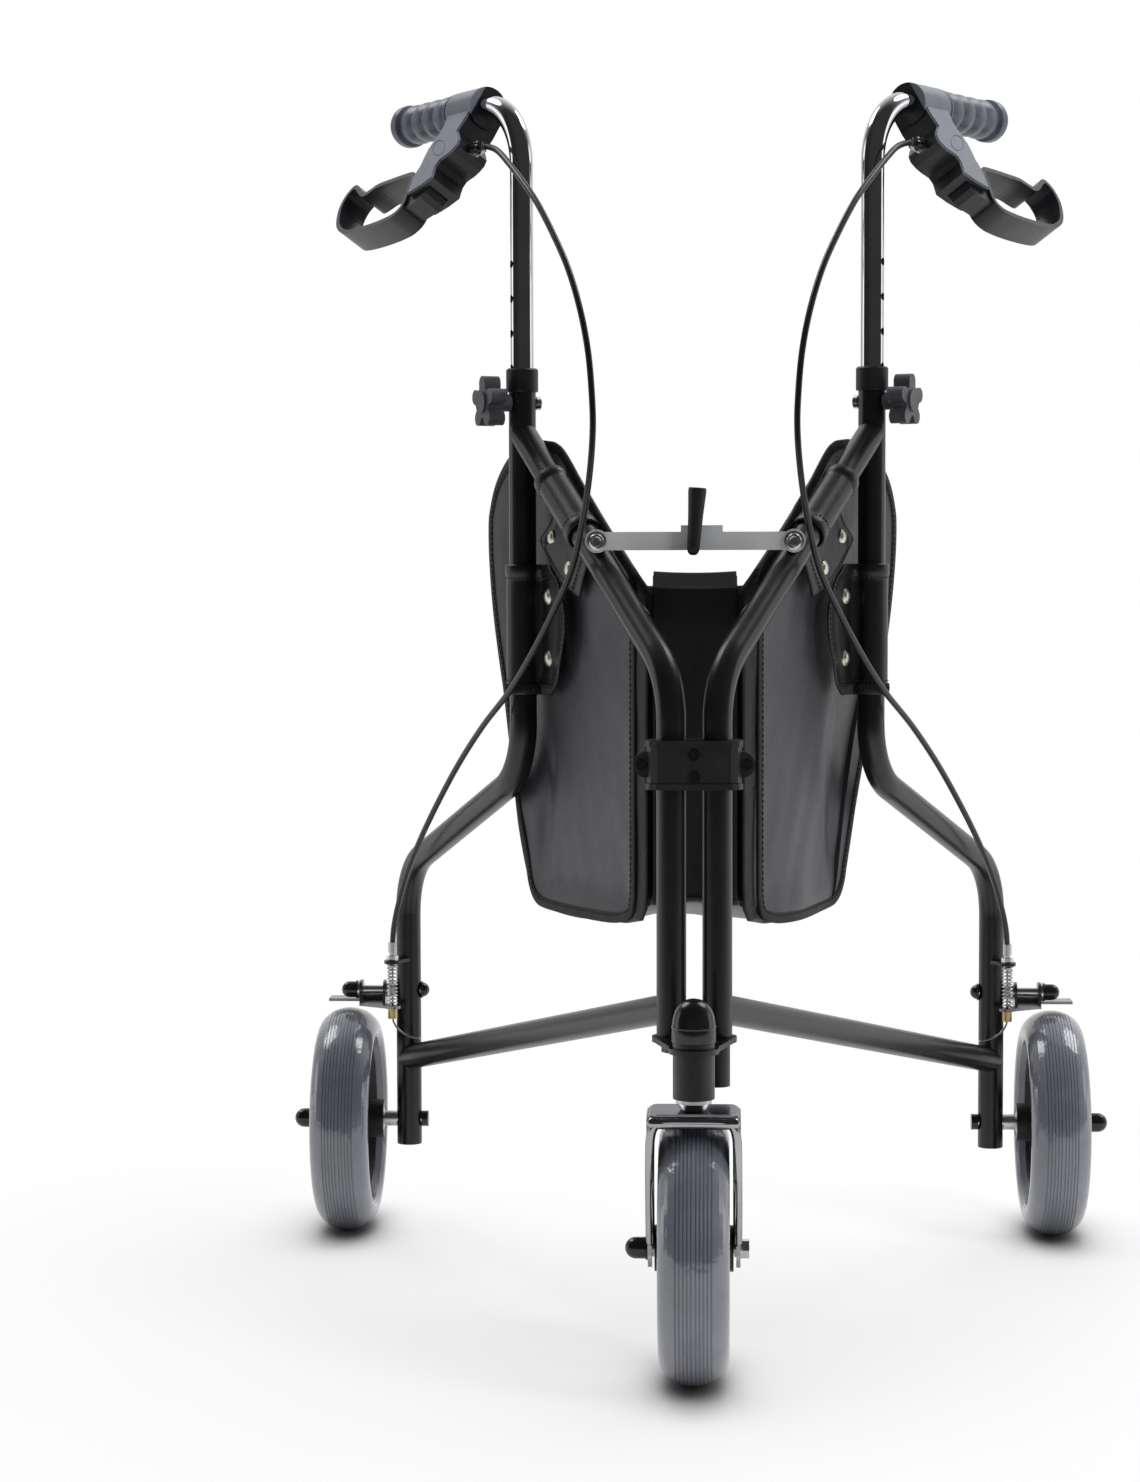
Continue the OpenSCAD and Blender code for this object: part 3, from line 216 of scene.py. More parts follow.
# materials
class Nodes:
    """A material, its shader and the nodes that feed it."""

    def __init__(self, name):
        self.m = bpy.data.materials.new(name)
        self.m.use_nodes = True
        self.t = self.m.node_tree
        self.b = self.t.nodes["Principled BSDF"]
        self.co = self.t.nodes.new("ShaderNodeTexCoord").outputs["Object"]

    def link(self, a, b):
        self.t.links.new(a, b)

    def node(self, kind, **values):
        n = self.t.nodes.new(kind)
        for k, v in values.items():
            n.inputs[k].default_value = v
        return n

    def scaled(self, x, y, z):
        n = self.node("ShaderNodeMapping", Scale=(x, y, z))
        self.link(self.co, n.inputs["Vector"])
        return n.outputs["Vector"]

    def noise(self, scale, detail=3.0, rough=0.55, vec=None):
        n = self.node("ShaderNodeTexNoise", Scale=scale, Detail=detail, Roughness=rough)
        self.link(vec or self.co, n.inputs["Vector"])
        return n.outputs["Fac"]

    def voronoi(self, scale):
        n = self.node("ShaderNodeTexVoronoi", Scale=scale)
        self.link(self.co, n.inputs["Vector"])
        return n.outputs["Distance"]

    def wave(self, scale, axis):
        n = self.node("ShaderNodeTexWave", Scale=scale)
        n.bands_direction = axis
        self.link(self.co, n.inputs["Vector"])
        return n.outputs["Fac"]

    def ranged(self, fac, lo, hi, a=0.0, b=1.0):
        n = self.node("ShaderNodeMapRange")
        n.inputs["From Min"].default_value = a
        n.inputs["From Max"].default_value = b
        n.inputs["To Min"].default_value = lo
        n.inputs["To Max"].default_value = hi
        self.link(fac, n.inputs["Value"])
        return n.outputs["Result"]

    def math(self, op, a, b=None):
        n = self.node("ShaderNodeMath")
        n.operation = op
        for i, x in enumerate((a, b)):
            if x is None:
                continue
            if isinstance(x, (int, float)):
                n.inputs[i].default_value = x
            else:
                self.link(x, n.inputs[i])
        return n.outputs[0]

    def mix(self, fac, a, b):
        n = self.node("ShaderNodeMix")
        n.data_type = "RGBA"
        ins = [i for i in n.inputs if i.enabled]
        for k, x in zip(("Factor", "A", "B"), (fac, a, b)):
            i = next(i for i in ins if i.name == k)
            if isinstance(x, (tuple, list)):
                i.default_value = (*x[:3], 1)
            elif isinstance(x, (int, float)):
                i.default_value = x
            else:
                self.link(x, i)
        return next(o for o in n.outputs if o.enabled)

    def colour(self, x):
        if isinstance(x, (tuple, list)):
            self.b.inputs["Base Color"].default_value = (*x[:3], 1)
        else:
            self.link(x, self.b.inputs["Base Color"])

    def rough(self, x):
        if isinstance(x, (int, float)):
            self.b.inputs["Roughness"].default_value = x
        else:
            self.link(x, self.b.inputs["Roughness"])

    def bump(self, height, strength, distance):
        n = self.node("ShaderNodeBump", Strength=strength, Distance=distance)
        self.link(height, n.inputs["Height"])
        self.link(n.outputs["Normal"], self.b.inputs["Normal"])

    def set(self, **values):
        for k, v in values.items():
            self.b.inputs[k.replace("_", " ")].default_value = v
        return self


def tint(c, f):
    return tuple(min(1.0, x * f) for x in c[:3])


def coat_black():
    n = Nodes("satin_black_coat")
    c = (0.0075, 0.0073, 0.0078)
    n.colour(n.mix(n.ranged(n.noise(38), 0, 1, 0.3, 0.7), tint(c, 0.8), tint(c, 1.4)))
    n.rough(n.ranged(n.noise(240, 2), 0.26, 0.36))
    n.bump(n.noise(900, 2), 0.08, 0.0003)
    n.set(Specular_IOR_Level=0.5)
    return n.m


def plastic(name, c, r=(0.38, 0.52), grain=1500, strength=0.18):
    n = Nodes(name)
    n.colour(n.mix(n.ranged(n.noise(60), 0, 1, 0.3, 0.7), tint(c, 0.8), tint(c, 1.35)))
    n.rough(n.ranged(n.noise(300, 2), *r))
    n.bump(n.noise(grain, 2), strength, 0.0003)
    return n.m


def metal(name, c, r, stretch=(60, 60, 60), strength=0.05, spread=0.12, metallic=1.0, edge=(1, 1, 1)):
    n = Nodes(name)
    vec = n.scaled(*stretch)
    fine = n.noise(14, 4, 0.6, vec)
    n.colour(n.mix(n.ranged(n.noise(25), 0, 1, 0.3, 0.7), tint(c, 0.88), tint(c, 1.06)))
    n.rough(n.ranged(fine, r, r + spread))
    n.bump(fine, strength, 0.0002)
    n.set(Metallic=metallic, Specular_Tint=(*edge, 1))
    return n.m


def tyre_grey(name, xc):
    """Grey tyre, painted darker in its tread grooves as shade, under a thin clear wrap that creases."""
    n = Nodes(name)
    c = (0.145, 0.154, 0.186)
    sep = n.node("ShaderNodeSeparateXYZ")
    n.link(n.co, sep.inputs[0])
    x = n.math("ABSOLUTE", n.math("SUBTRACT", sep.outputs["X"], xc))
    pitch, tread = 0.0028, (0.0142, 0.0150)
    u = n.math("FRACT", n.math("ADD", n.math("DIVIDE", x, pitch), 0.9))
    # painted shade: the base colour darkens in each tread groove, standing in for the shade in these
    # recesses
    groove_shade = n.math("MULTIPLY", n.ranged(n.math("ABSOLUTE", n.math("SUBTRACT", u, 0.5)), 1, 0, 0.10, 0.24),
                    n.ranged(x, 1, 0, *tread))
    mould = n.ranged(n.noise(45), 0, 1, 0.25, 0.75)
    n.colour(n.mix(groove_shade, n.mix(mould, tint(c, 0.82), tint(c, 1.15)), tint(c, 0.74)))
    n.rough(n.ranged(n.noise(180, 3), 0.42, 0.58))
    n.bump(n.noise(700, 2), 0.12, 0.0004)
    crease = n.node("ShaderNodeBump", Strength=0.55, Distance=0.0016)
    wrap = n.math("ADD", n.noise(52, 4, 0.62), n.math("MULTIPLY", n.noise(14, 2, 0.5), 1.6))
    n.link(wrap, crease.inputs["Height"])
    n.link(crease.outputs["Normal"], n.b.inputs["Coat Normal"])
    n.set(Coat_Weight=0.8, Coat_Roughness=0.06, Coat_IOR=1.9)
    return n.m


def vinyl(name, c, r=(0.34, 0.5)):
    n = Nodes(name)
    grain = n.voronoi(900)
    fold = n.noise(16, 3)
    n.colour(n.mix(n.ranged(n.noise(9, 4), 0, 1, 0.3, 0.7), tint(c, 0.82), tint(c, 1.2)))
    n.rough(n.ranged(n.noise(120, 3), *r))
    n.bump(n.math("ADD", n.math("MULTIPLY", grain, 0.5), fold), 0.22, 0.0007)
    n.set(Sheen_Weight=0.03, Sheen_Roughness=0.4)
    return n.m


def nylon(name, c):
    n = Nodes(name)
    a = n.wave(1500, "X")
    b = n.wave(1500, "Z")
    weave = n.math("MULTIPLY", a, b)
    n.colour(n.mix(n.ranged(weave, 0, 1), tint(c, 0.6), tint(c, 1.6)))
    n.rough(n.ranged(n.noise(90, 3), 0.55, 0.75))
    n.bump(n.math("ADD", weave, n.math("MULTIPLY", n.noise(22, 3), 1.2)), 0.3, 0.0006)
    n.set(Sheen_Weight=0.03, Sheen_Roughness=0.5)
    return n.m


def thread(name, c):
    n = Nodes(name)
    n.colour(n.mix(n.noise(800, 2), tint(c, 0.7), tint(c, 1.4)))
    n.rough(0.75)
    n.bump(n.wave(3000, "Z"), 0.3, 0.0002)
    return n.m


def housing_painted_reflection(name, s):
    """Black moulded housing; its upturned outer face is painted blue grey, a painted reflection of the
    bright light above it.
    """
    n = Nodes(name)
    lit_face_from = (0.0110, 0.0114)
    o = -(LEVER @ Vector((0, 1, 0)))
    o = Vector((s * o.x, o.y, o.z))
    p = at_lever(0.075, 0, -0.03, s)
    dot = n.node("ShaderNodeVectorMath")
    dot.operation = "DOT_PRODUCT"
    n.link(n.co, dot.inputs[0])
    dot.inputs[1].default_value = tuple(o)
    d = n.math("SUBTRACT", dot.outputs["Value"], float(p.dot(o)))
    # painted reflection: the face beyond about 11 mm outward of the lever plane is coloured blue grey,
    # standing in for the bright light it reflects from above
    reflection_mask = n.ranged(d, 0, 1, *lit_face_from)
    black, reflection_grey = (0.011, 0.011, 0.013), (0.165, 0.176, 0.212)
    var = n.ranged(n.noise(70), 0, 1, 0.3, 0.7)
    n.colour(n.mix(reflection_mask, n.mix(var, tint(black, 0.8), tint(black, 1.4)),
                   n.mix(var, tint(reflection_grey, 0.92), tint(reflection_grey, 1.06))))
    n.rough(n.ranged(n.noise(300, 2), 0.34, 0.46))
    n.bump(n.noise(1400, 2), 0.12, 0.0003)
    return n.m


def brake_metal():
    """Dark stamped steel of the brake arm."""
    n = Nodes("brake_arm_metal")
    fine = n.noise(14, 4, 0.6, n.scaled(70, 70, 70))
    n.colour(n.mix(n.ranged(n.noise(25), 0, 1, 0.3, 0.7), (0.20, 0.20, 0.21), (0.34, 0.34, 0.35)))
    n.rough(n.ranged(fine, 0.24, 0.38))
    n.bump(fine, 0.06, 0.0002)
    n.set(Metallic=1.0)
    return n.m


def brass_and_wire():
    """Brass nipple, and below it the bare tail of the steel wire."""
    n = Nodes("brass_nipple")
    sep = n.node("ShaderNodeSeparateXYZ")
    n.link(n.co, sep.inputs[0])
    nipple_end = LUG_Z - 0.0093
    body = n.ranged(sep.outputs["Z"], 0, 1, nipple_end - 0.0001, nipple_end + 0.0001)
    spot = n.ranged(n.noise(60), 0, 1, 0.3, 0.7)
    n.colour(n.mix(body, n.mix(spot, (0.58, 0.59, 0.61), (0.70, 0.71, 0.73)),
                   n.mix(spot, (0.55, 0.40, 0.17), (0.66, 0.50, 0.22))))
    n.rough(n.ranged(n.noise(300, 3), 0.24, 0.40))
    n.bump(n.noise(500, 2), 0.06, 0.0002)
    n.set(Metallic=1.0)
    return n.m


M_COAT = coat_black()
M_PLASTIC = plastic("black_plastic", (0.0105, 0.0105, 0.012), (0.40, 0.54))
M_KNOB = plastic("knob_plastic", (0.055, 0.055, 0.065), (0.32, 0.46))
M_LEVER = plastic("lever_plastic", (0.015, 0.0155, 0.019), (0.30, 0.42))
M_RIM = plastic("black_rim", (0.010, 0.010, 0.012), (0.34, 0.46))
M_GRIP = plastic("grip_rubber", (0.092, 0.102, 0.132), (0.28, 0.40), 1100, 0.22)
M_CAP = plastic("gloss_caps", (0.008, 0.008, 0.009), (0.16, 0.26), 700, 0.05)
M_CHROME = metal("chrome_tube", (0.62, 0.63, 0.65), 0.045, (20, 20, 20), 0.01, 0.03)
M_ZINC = metal("zinc_plate", (0.66, 0.67, 0.69), 0.24, (70, 70, 70), 0.06, 0.14)
M_FORK = metal("satin_chrome_fork", (0.40, 0.405, 0.42), 0.12, (50, 50, 260), 0.03, 0.08,
               1.0, (0.45, 0.45, 0.47))
M_STAY = metal("brushed_galvanised", (0.80, 0.81, 0.83), 0.34, (12, 200, 420), 0.12, 0.12, 0.3)
M_BRASS = brass_and_wire()
M_NICKEL = metal("nickel_snap", (0.76, 0.72, 0.63), 0.34)
M_BRAKE = brake_metal()
M_CABLE = plastic("cable_sheath", (0.008, 0.008, 0.009), (0.28, 0.40), 900, 0.08)
M_GREY = vinyl("grey_vinyl", (0.034, 0.0355, 0.043))
M_HEM = vinyl("dark_hem", (0.030, 0.031, 0.034), (0.45, 0.6))
M_STRAP = vinyl("black_vinyl", (0.0065, 0.0065, 0.0085), (0.30, 0.45))
M_NYLON = nylon("black_nylon", (0.0032, 0.0032, 0.0045))
M_BIND = nylon("black_binding", (0.008, 0.008, 0.010))
M_THREAD = thread("black_thread", (0.026, 0.026, 0.030))
M_TYRE = {side + "_tyre": tyre_grey("grey_tyre_" + side, x)
          for side, x in (("front", 0.0), ("left", REAR_X), ("right", -REAR_X))}

LOOK = {
    "head_barrel": M_COAT, "barrel_cap": M_CAP, "head_bearings": M_ZINC, "hinge_pins": M_COAT,
    "clamp_front": M_PLASTIC, "clamp_rear": M_PLASTIC, "clamp_screws": M_CAP,
    "bag_shell": M_NYLON, "caster_fork": M_FORK, "caster_stem": M_ZINC, "front_axle": M_ZINC,
    "front_axle_cap": M_CAP, "front_rim": M_RIM, "front_bearings": M_ZINC,
    "stay_handle": M_PLASTIC, "front_tube": M_COAT, "rear_tube": M_COAT, "lower_tube": M_COAT,
    "sleeve_collar": M_PLASTIC, "frame_bolts": M_ZINC, "plastic_caps": M_CAP,
    "brake_cable": M_CABLE, "brake_spring": M_ZINC, "brake_wire": M_ZINC, "bag_panel": M_GREY,
    "handle_stem": M_CHROME, "hand_grip": M_GRIP, "lever_hardware": M_CHROME,
    "brake_lever": M_LEVER, "height_knob": M_KNOB, "brake_arm": M_BRAKE,
    "cable_nipple": M_BRASS, "rim": M_RIM, "bearings": M_ZINC,
    "stay_link": M_STAY,
}
M_HOUSING = {s: housing_painted_reflection("lever_housing_" + side, s) for side, s in SIDES}

for name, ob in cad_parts.items():
    base = name.replace("left_", "").replace("right_", "")
    if base == "lever_housing":
        look = M_HOUSING[1 if name.startswith("left") else -1]
    elif name in M_TYRE:
        look = M_TYRE[name]
    else:
        look = LOOK[base]
    if not ob.material_slots:
        ob.data.materials.append(look)
    for sl in ob.material_slots:
        sl.material = look

# camera
scene = bpy.context.scene
cam_data = bpy.data.cameras.new("camera")
cam = bpy.data.objects.new("camera", cam_data)
scene.collection.objects.link(cam)
cam_data.sensor_fit = "AUTO"
cam_data.sensor_width = 36
CAM_YAW, CAM_PITCH, CAM_ROLL = math.radians(-2.798), math.radians(3.638), math.radians(-0.160)
cam_data.lens = 73.94
cam.location = (0.01778, -2.46938, 0.61577)
fwd = Vector((math.sin(CAM_YAW) * math.cos(CAM_PITCH), math.cos(CAM_YAW) * math.cos(CAM_PITCH),
              -math.sin(CAM_PITCH)))
right = Vector((math.cos(CAM_YAW), -math.sin(CAM_YAW), 0))
up = right.cross(fwd)
r2 = right * math.cos(CAM_ROLL) + up * math.sin(CAM_ROLL)
u2 = -right * math.sin(CAM_ROLL) + up * math.cos(CAM_ROLL)
cam.matrix_world = Matrix((
    (r2.x, u2.x, -fwd.x, cam.location.x), (r2.y, u2.y, -fwd.y, cam.location.y),
    (r2.z, u2.z, -fwd.z, cam.location.z), (0, 0, 0, 1)))
scene.camera = cam

# brake cables, in millimetres along the side frame, inward of it, and up
CLAMP_L, CABLE_H, LEVER_MID = 55, 41, 2.5
CABLE_R = 0.0025


def lever_point(l, y, h):
    """The same handle point as at_lever, in the millimetres of the route."""
    v = y * math.cos(ROLL) + h * math.sin(ROLL)
    return (SLEEVE_R * 1000 + l * math.cos(SPLAY) + v * math.sin(SPLAY),
            v * math.cos(SPLAY) - l * math.sin(SPLAY),
            BAR_Z * 1000 - y * math.sin(ROLL) + h * math.cos(ROLL))


ROUTE = [lever_point(CLAMP_L - d, LEVER_MID, -CABLE_H) for d in (24.92, 28, 34)] + [
    (272, -22.8, 935.5), (250, -24, 925), (220, -25.4, 908), (185, -26, 885),
    (152, -26, 856), (125, -26, 828), (104, -26, 797), (90, -26, 766), (83, -26, 735), (83, -25, 704),
    (92, -24, 668), (108, -23, 632), (130, -22, 598), (164, -22, 566), (206, -22, 532), (252, -22, 500),
    (308, -22, 469), (362, -22, 434), (412, -22, 396), (452, -22, 362), (484, -22, 330),
    (508, -21.8, 298), (519, -21.6, 278), (522.5, -21.5, 264),
]
for side, s in SIDES:
    pts = [at_frame(r / 1000, -o / 1000, z / 1000, s) for r, o, z in ROUTE]
    path = [Vector(p) for p in smooth_line([tuple(p) for p in pts], 6)]
    v, f = sweep(path, circle(CABLE_R, 14))
    cable = outward(mesh(side + "_cable_sheath", v, f, M_CABLE))
    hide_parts(side + "_brake_cable")
    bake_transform(cable)

# moulded cap of the head barrel
CAP_PROFILE = [(0.0112, 0.00002), (0.0157, 0.00002), (0.01605, 0.0005), (0.01605, 0.0100), (0.0159, 0.0106),
               (0.0163, 0.0110), (0.0163, 0.0118), (0.0158, 0.0124), (0.0156, 0.0150), (0.0151, 0.0180),
               (0.0143, 0.0208), (0.0132, 0.0234), (0.0117, 0.0259), (0.0098, 0.0281), (0.0075, 0.0299),
               (0.0048, 0.0311), (0.0022, 0.0317), (0, 0.0318)]
BARREL_TOP = 0.258
v, f = lathe(CAP_PROFILE, (0, BARREL_Y, BARREL_TOP), (0, 0, 1), 56)
cap = outward(mesh("head_cap", v, f, M_CAP))
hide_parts("barrel_cap")
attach(cap, "head")

# rolled edge of the caster fork, down both legs and across the crown
FORK_EDGE = [(31.9, -268, 108), (31.9, -274, 117), (31.9, -281.5, 131), (31.8, -291, 149),
             (31.7, -298, 164), (31.6, -299.8, 180), (31.2, -300.6, 190), (29.6, -301.6, 197.6),
             (26.2, -302.3, 201.8), (20, -302.6, 203.4)]
BEAD_H, BEAD_W = 0.0036, 0.0034
edge = [(-x, y, z) for x, y, z in FORK_EDGE] + [(0, -302.6, 203.6)] + FORK_EDGE[::-1]
path = smooth_line([tuple(c / 1000 for c in p) for p in edge], 5)
v, f = sweep(path, circle(BEAD_H, 16, BEAD_W), up=(0, -1, 0.2))
rolled = outward(mesh("fork_rolled_edge", v, f, M_FORK))
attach(rolled, "caster")

# brake springs and wires
TURNS, TURN_STEPS = 11, 18
COIL_R, COIL_FLARE, COIL_WIRE = 0.004, 0.0006, 0.00068
LUG_HALF, COIL_END = 0.0025, 0.001
WIRE_R, WIRE_TOP = 0.0009, TAB_Z + 0.009
for side, s in SIDES:
    z0, z1 = LUG_Z + LUG_HALF + COIL_END, TAB_Z - COIL_END
    pts = []
    for i in range(TURNS * TURN_STEPS + 1):
        t = i / (TURNS * TURN_STEPS)
        a = 2 * math.pi * TURNS * t
        r = COIL_R + COIL_FLARE * t
        pts.append(at_leg(WIRE.x, WIRE.y, z0 + (z1 - z0) * t, s)
                   + Vector((s * r * math.cos(a), r * math.sin(a), 0)))
    v, f = sweep(pts, circle(COIL_WIRE, 8))
    spring = outward(mesh(side + "_return_spring", v, f, M_ZINC))
    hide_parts(side + "_brake_spring")
    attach(spring, side + "_frame")
    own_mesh(spring)
    rings = (0, 0.010, 0.020, 0.030, WIRE_TOP - LUG_Z)
    v, f = lathe([(0, 0), *((WIRE_R, h) for h in rings), (0, WIRE_TOP - LUG_Z)],
                 at_leg(WIRE.x, WIRE.y, LUG_Z - 0.0004, s), (0, 0, 1), 12)
    wire = outward(mesh(side + "_bare_wire", v, f, M_ZINC))
    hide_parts(side + "_brake_wire")
    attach(wire, side + "_frame")
    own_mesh(wire)

# bag side panels: outline along the side frame and up
EDGE_MM = [
    (66, 583), (84, 594), (120, 618), (157, 644), (190, 668), (222, 692), (240, 700), (254, 702),
    (275, 703), (300, 700), (320, 694), (338, 683), (353, 668), (362, 650), (366, 630), (366, 600),
    (361, 560), (352, 520), (342, 485), (330, 445), (317, 400), (303, 355), (296, 336), (284, 324),
    (262, 320), (200, 320), (140, 322), (100, 326), (80, 330), (72, 340), (70, 360), (70, 450), (69, 540),
]
EDGE = [(r / 1000, z / 1000) for r, z in EDGE_MM]
PANEL_LOW, PANEL_HIGH = 0.3204, 0.7026
# the bag hangs unevenly: how far each rear edge stands inward of the flat plane, as (height, millimetres)
BOW = {1: [(0.30, 20), (0.35, 20), (0.40, 19), (0.46, 15.8), (0.522, 9), (0.575, 6.6), (0.64, 4),
           (0.71, 5)],
       -1: [(0.30, -2.5), (0.366, -3), (0.44, -2), (0.50, -1.5), (0.567, -4), (0.64, -6), (0.71, -3)]}
BOW_FROM = {1: 0.15, -1: 0.295}
# the bound seam in front of each panel, and half the width of its binding
SEAM = {1: 0.0955, -1: 0.0915}
BAND = 0.0043
CLOTH_FACES = (0.0003, 0.0019)
STITCH_STEP, STITCH_HALF = 0.0046, 0.0014


def ease(t):
    """Smooth step from 0 to 1."""
    t = max(0.0, min(1.0, t))
    return t * t * (3 - 2 * t)


def table(rows, x):
    """Value at x on a line through rows of (x, value)."""
    if x <= rows[0][0]:
        return rows[0][1]
    for (a, u), (b, v) in zip(rows, rows[1:]):
        if x <= b:
            return u + (v - u) * (x - a) / (b - a)
    return rows[-1][1]


def span(z):
    """Where a level line crosses the panel's outline."""
    xs = []
    for (r0, z0), (r1, z1) in zip(EDGE, EDGE[1:] + EDGE[:1]):
        if (z0 <= z < z1) or (z1 <= z < z0):
            xs.append(r0 + (r1 - r0) * (z - z0) / (z1 - z0))
    return min(xs), max(xs)


def bow(r, z, s):
    """How far the hang of the bag carries a panel inward of its flat plane."""
    hi = span(min(max(z, PANEL_LOW), PANEL_HIGH))[1]
    a = BOW_FROM[s]
    return table(BOW[s], z) / 1000 * ease((r - a) / max(0.02, hi - a))


def sag(r, z, edge, s):
    """How far the cloth between its bound edges stands inward of them."""
    a = 0.0042 * ease(edge / 0.05)
    w = noise.noise(Vector((r * 14, z * 5 + 3.1 * s, 1.7)))
    w2 = noise.noise(Vector((r * 38 - z * 16, z * 11, 4.2 + s)))
    crease = (math.exp(-((r - 0.262 - 0.12 * (0.46 - z)) / 0.011) ** 2)
              * ease((0.475 - z) / 0.05) * ease((z - 0.33) / 0.05))
    return max(0.0, a + ease(edge / 0.03) * (0.0030 * w + 0.0014 * w2 + 0.0035 * crease))


def moved_in(line, d):
    """Closed outline moved inward; it runs clockwise."""
    n = len(line)
    out = []
    for i, (x, y) in enumerate(line):
        tx, ty = line[(i + 1) % n][0] - line[i - 1][0], line[(i + 1) % n][1] - line[i - 1][1]
        k = d / math.hypot(tx, ty)
        out.append((x + ty * k, y - tx * k))
    return out


def two_layers(rows, w):
    """Faces of a cloth of two layers of rows x w points, joined round its edge."""
    m = rows * w
    faces = []
    for i in range(rows - 1):
        for j in range(w - 1):
            a = i * w + j
            faces.append((a, a + 1, a + w + 1, a + w))
            faces.append((m + a, m + a + w, m + a + w + 1, m + a + 1))
    rim = (list(range(w)) + [i * w + w - 1 for i in range(1, rows)]
           + [(rows - 1) * w + j for j in range(w - 2, -1, -1)] + [i * w for i in range(rows - 2, 0, -1)])
    for a, b in zip(rim, rim[1:] + rim[:1]):
        faces.append((a, m + a, m + b, b))
    return faces


def stitches(name, side, spans):
    """Short raised threads, each given as three points."""
    heap = Heap()
    for pts in spans:
        heap.add(sweep(pts, circle(0.00036, 6)))
    ob = outward(mesh(name, heap.v, heap.f, M_THREAD))
    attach(ob, side + "_frame")
    return ob


def panel(side, s):
    """Cloth of a side panel with its binding and stitches."""
    rows, cols = 78, 48
    verts = []
    for base in (-PANEL - face for face in CLOTH_FACES):
        for i in range(rows + 1):
            z = PANEL_LOW + (PANEL_HIGH - PANEL_LOW) * i / rows
            lo, hi = span(z)
            for j in range(cols + 1):
                r = lo + (hi - lo) * j / cols
                e = min(r - lo, hi - r, (z - PANEL_LOW) * 1.5, (PANEL_HIGH - z) * 1.5)
                verts.append(at_frame(r, base - sag(r, z, e, s) - bow(r, z, s), z, s))
    ob = outward(mesh(side + "_panel_cloth", verts, two_layers(rows + 1, cols + 1), M_GREY))
    # the strip in front of the bound seam is black, as is the inner face
    ob.data.materials.append(M_NYLON)
    seam = at_frame(SEAM[s], -PANEL, 0, s).y
    for p in ob.data.polygons:
        if p.center.y < seam or p.normal.x * s < -0.3:
            p.material_index = 1
    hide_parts(side + "_bag_panel")
    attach(ob, side + "_frame")
    f = SEAM[s] * 1000
    bound = [(f + 28, 616), (f + 10, 604), (f + 2, 594), (f, 576), (f, 450), (f, 362), (f + 1.5, 342),
             (f + 7, 331), (f + 20, 326)]
    loop = [p for p in EDGE[2:] if p[0] >= 0.138]
    # clockwise: along the top, down the back, along the base, up the seam
    loop = loop + [(r / 1000, z / 1000) for r, z in reversed(bound)]
    line = moved_in(smooth_line(loop, 5, closed=True), BAND)
    path = [at_frame(r, -PANEL - 0.0011 - bow(r, z, s), z, s) for r, z in line]
    n_out = at_frame(0, 1, 0, s) - at_frame(0, 0, 0, s)
    sect = [(0.0016 * math.copysign(abs(math.cos(a)) ** 0.5, math.cos(a)),
             BAND * math.copysign(abs(math.sin(a)) ** 0.5, math.sin(a)))
            for a in (2 * math.pi * i / 16 for i in range(16))]
    v, f = sweep(path, sect, closed=True, up=n_out)
    bind = outward(mesh(side + "_panel_binding", v, f, M_BIND))
    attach(bind, side + "_frame")
    inner = moved_in(line, BAND * 0.52)
    pts = [at_frame(r, -PANEL + 0.0006 - bow(r, z, s), z, s) for r, z in inner]
    spans, carry = [], 0.0
    for a, b in zip(pts, pts[1:] + pts[:1]):
        d = (b - a).length
        x = carry
        while x < d:
            q = a + (b - a) * (x / d)
            t = (b - a).normalized() * STITCH_HALF
            spans.append([q - t, q + n_out * 0.00035, q + t])
            x += STITCH_STEP
        carry = x - d
    stitches(side + "_panel_stitches", side, spans)


for side, s in SIDES:
    panel(side, s)

# bag front, base and back
BAG_OFF = PANEL + BAG_T + BAG_CLEAR


def bag_half(r, z, s):
    """Where a side of the bag lies: against the inner face of its panel."""
    return HINGE + r * SA - (BAG_OFF + bow(r, z, s)) * CA


def bag_y(r):
    return HINGE_Y + r * CA + BAG_OFF * SA


BAG_LINE = smooth_line([
    (0.066, 0.594), (0.066, 0.52), (0.066, 0.44), (0.066, 0.38), (0.0665, 0.354), (0.070, 0.3455),
    (0.079, 0.3405), (0.105, 0.333), (0.145, 0.3245), (0.19, 0.3195), (0.235, 0.3185), (0.264, 0.3205),
    (0.278, 0.325), (0.287, 0.337), (0.294, 0.37), (0.308, 0.44), (0.326, 0.52), (0.342, 0.590)], 6)
# name, place along the frame, height, dip in the middle, and width
HEMS = (("bag_front_hem", 0.0655, 0.5915, 0.0012, 0.0125),
        ("bag_back_hem", 0.3415, 0.585, 0.010, 0.016))
BASE_HIGH = 0.3465
SIDE_CLEAR = 0.0008
HEM_STEPS = 40


def across(r, z, u):
    """World x at a share u, from -1 to 1, of the bag's width."""
    a, b = -bag_half(r, z, -1) + SIDE_CLEAR, bag_half(r, z, 1) - SIDE_CLEAR
    return a + (b - a) * (u + 1) / 2


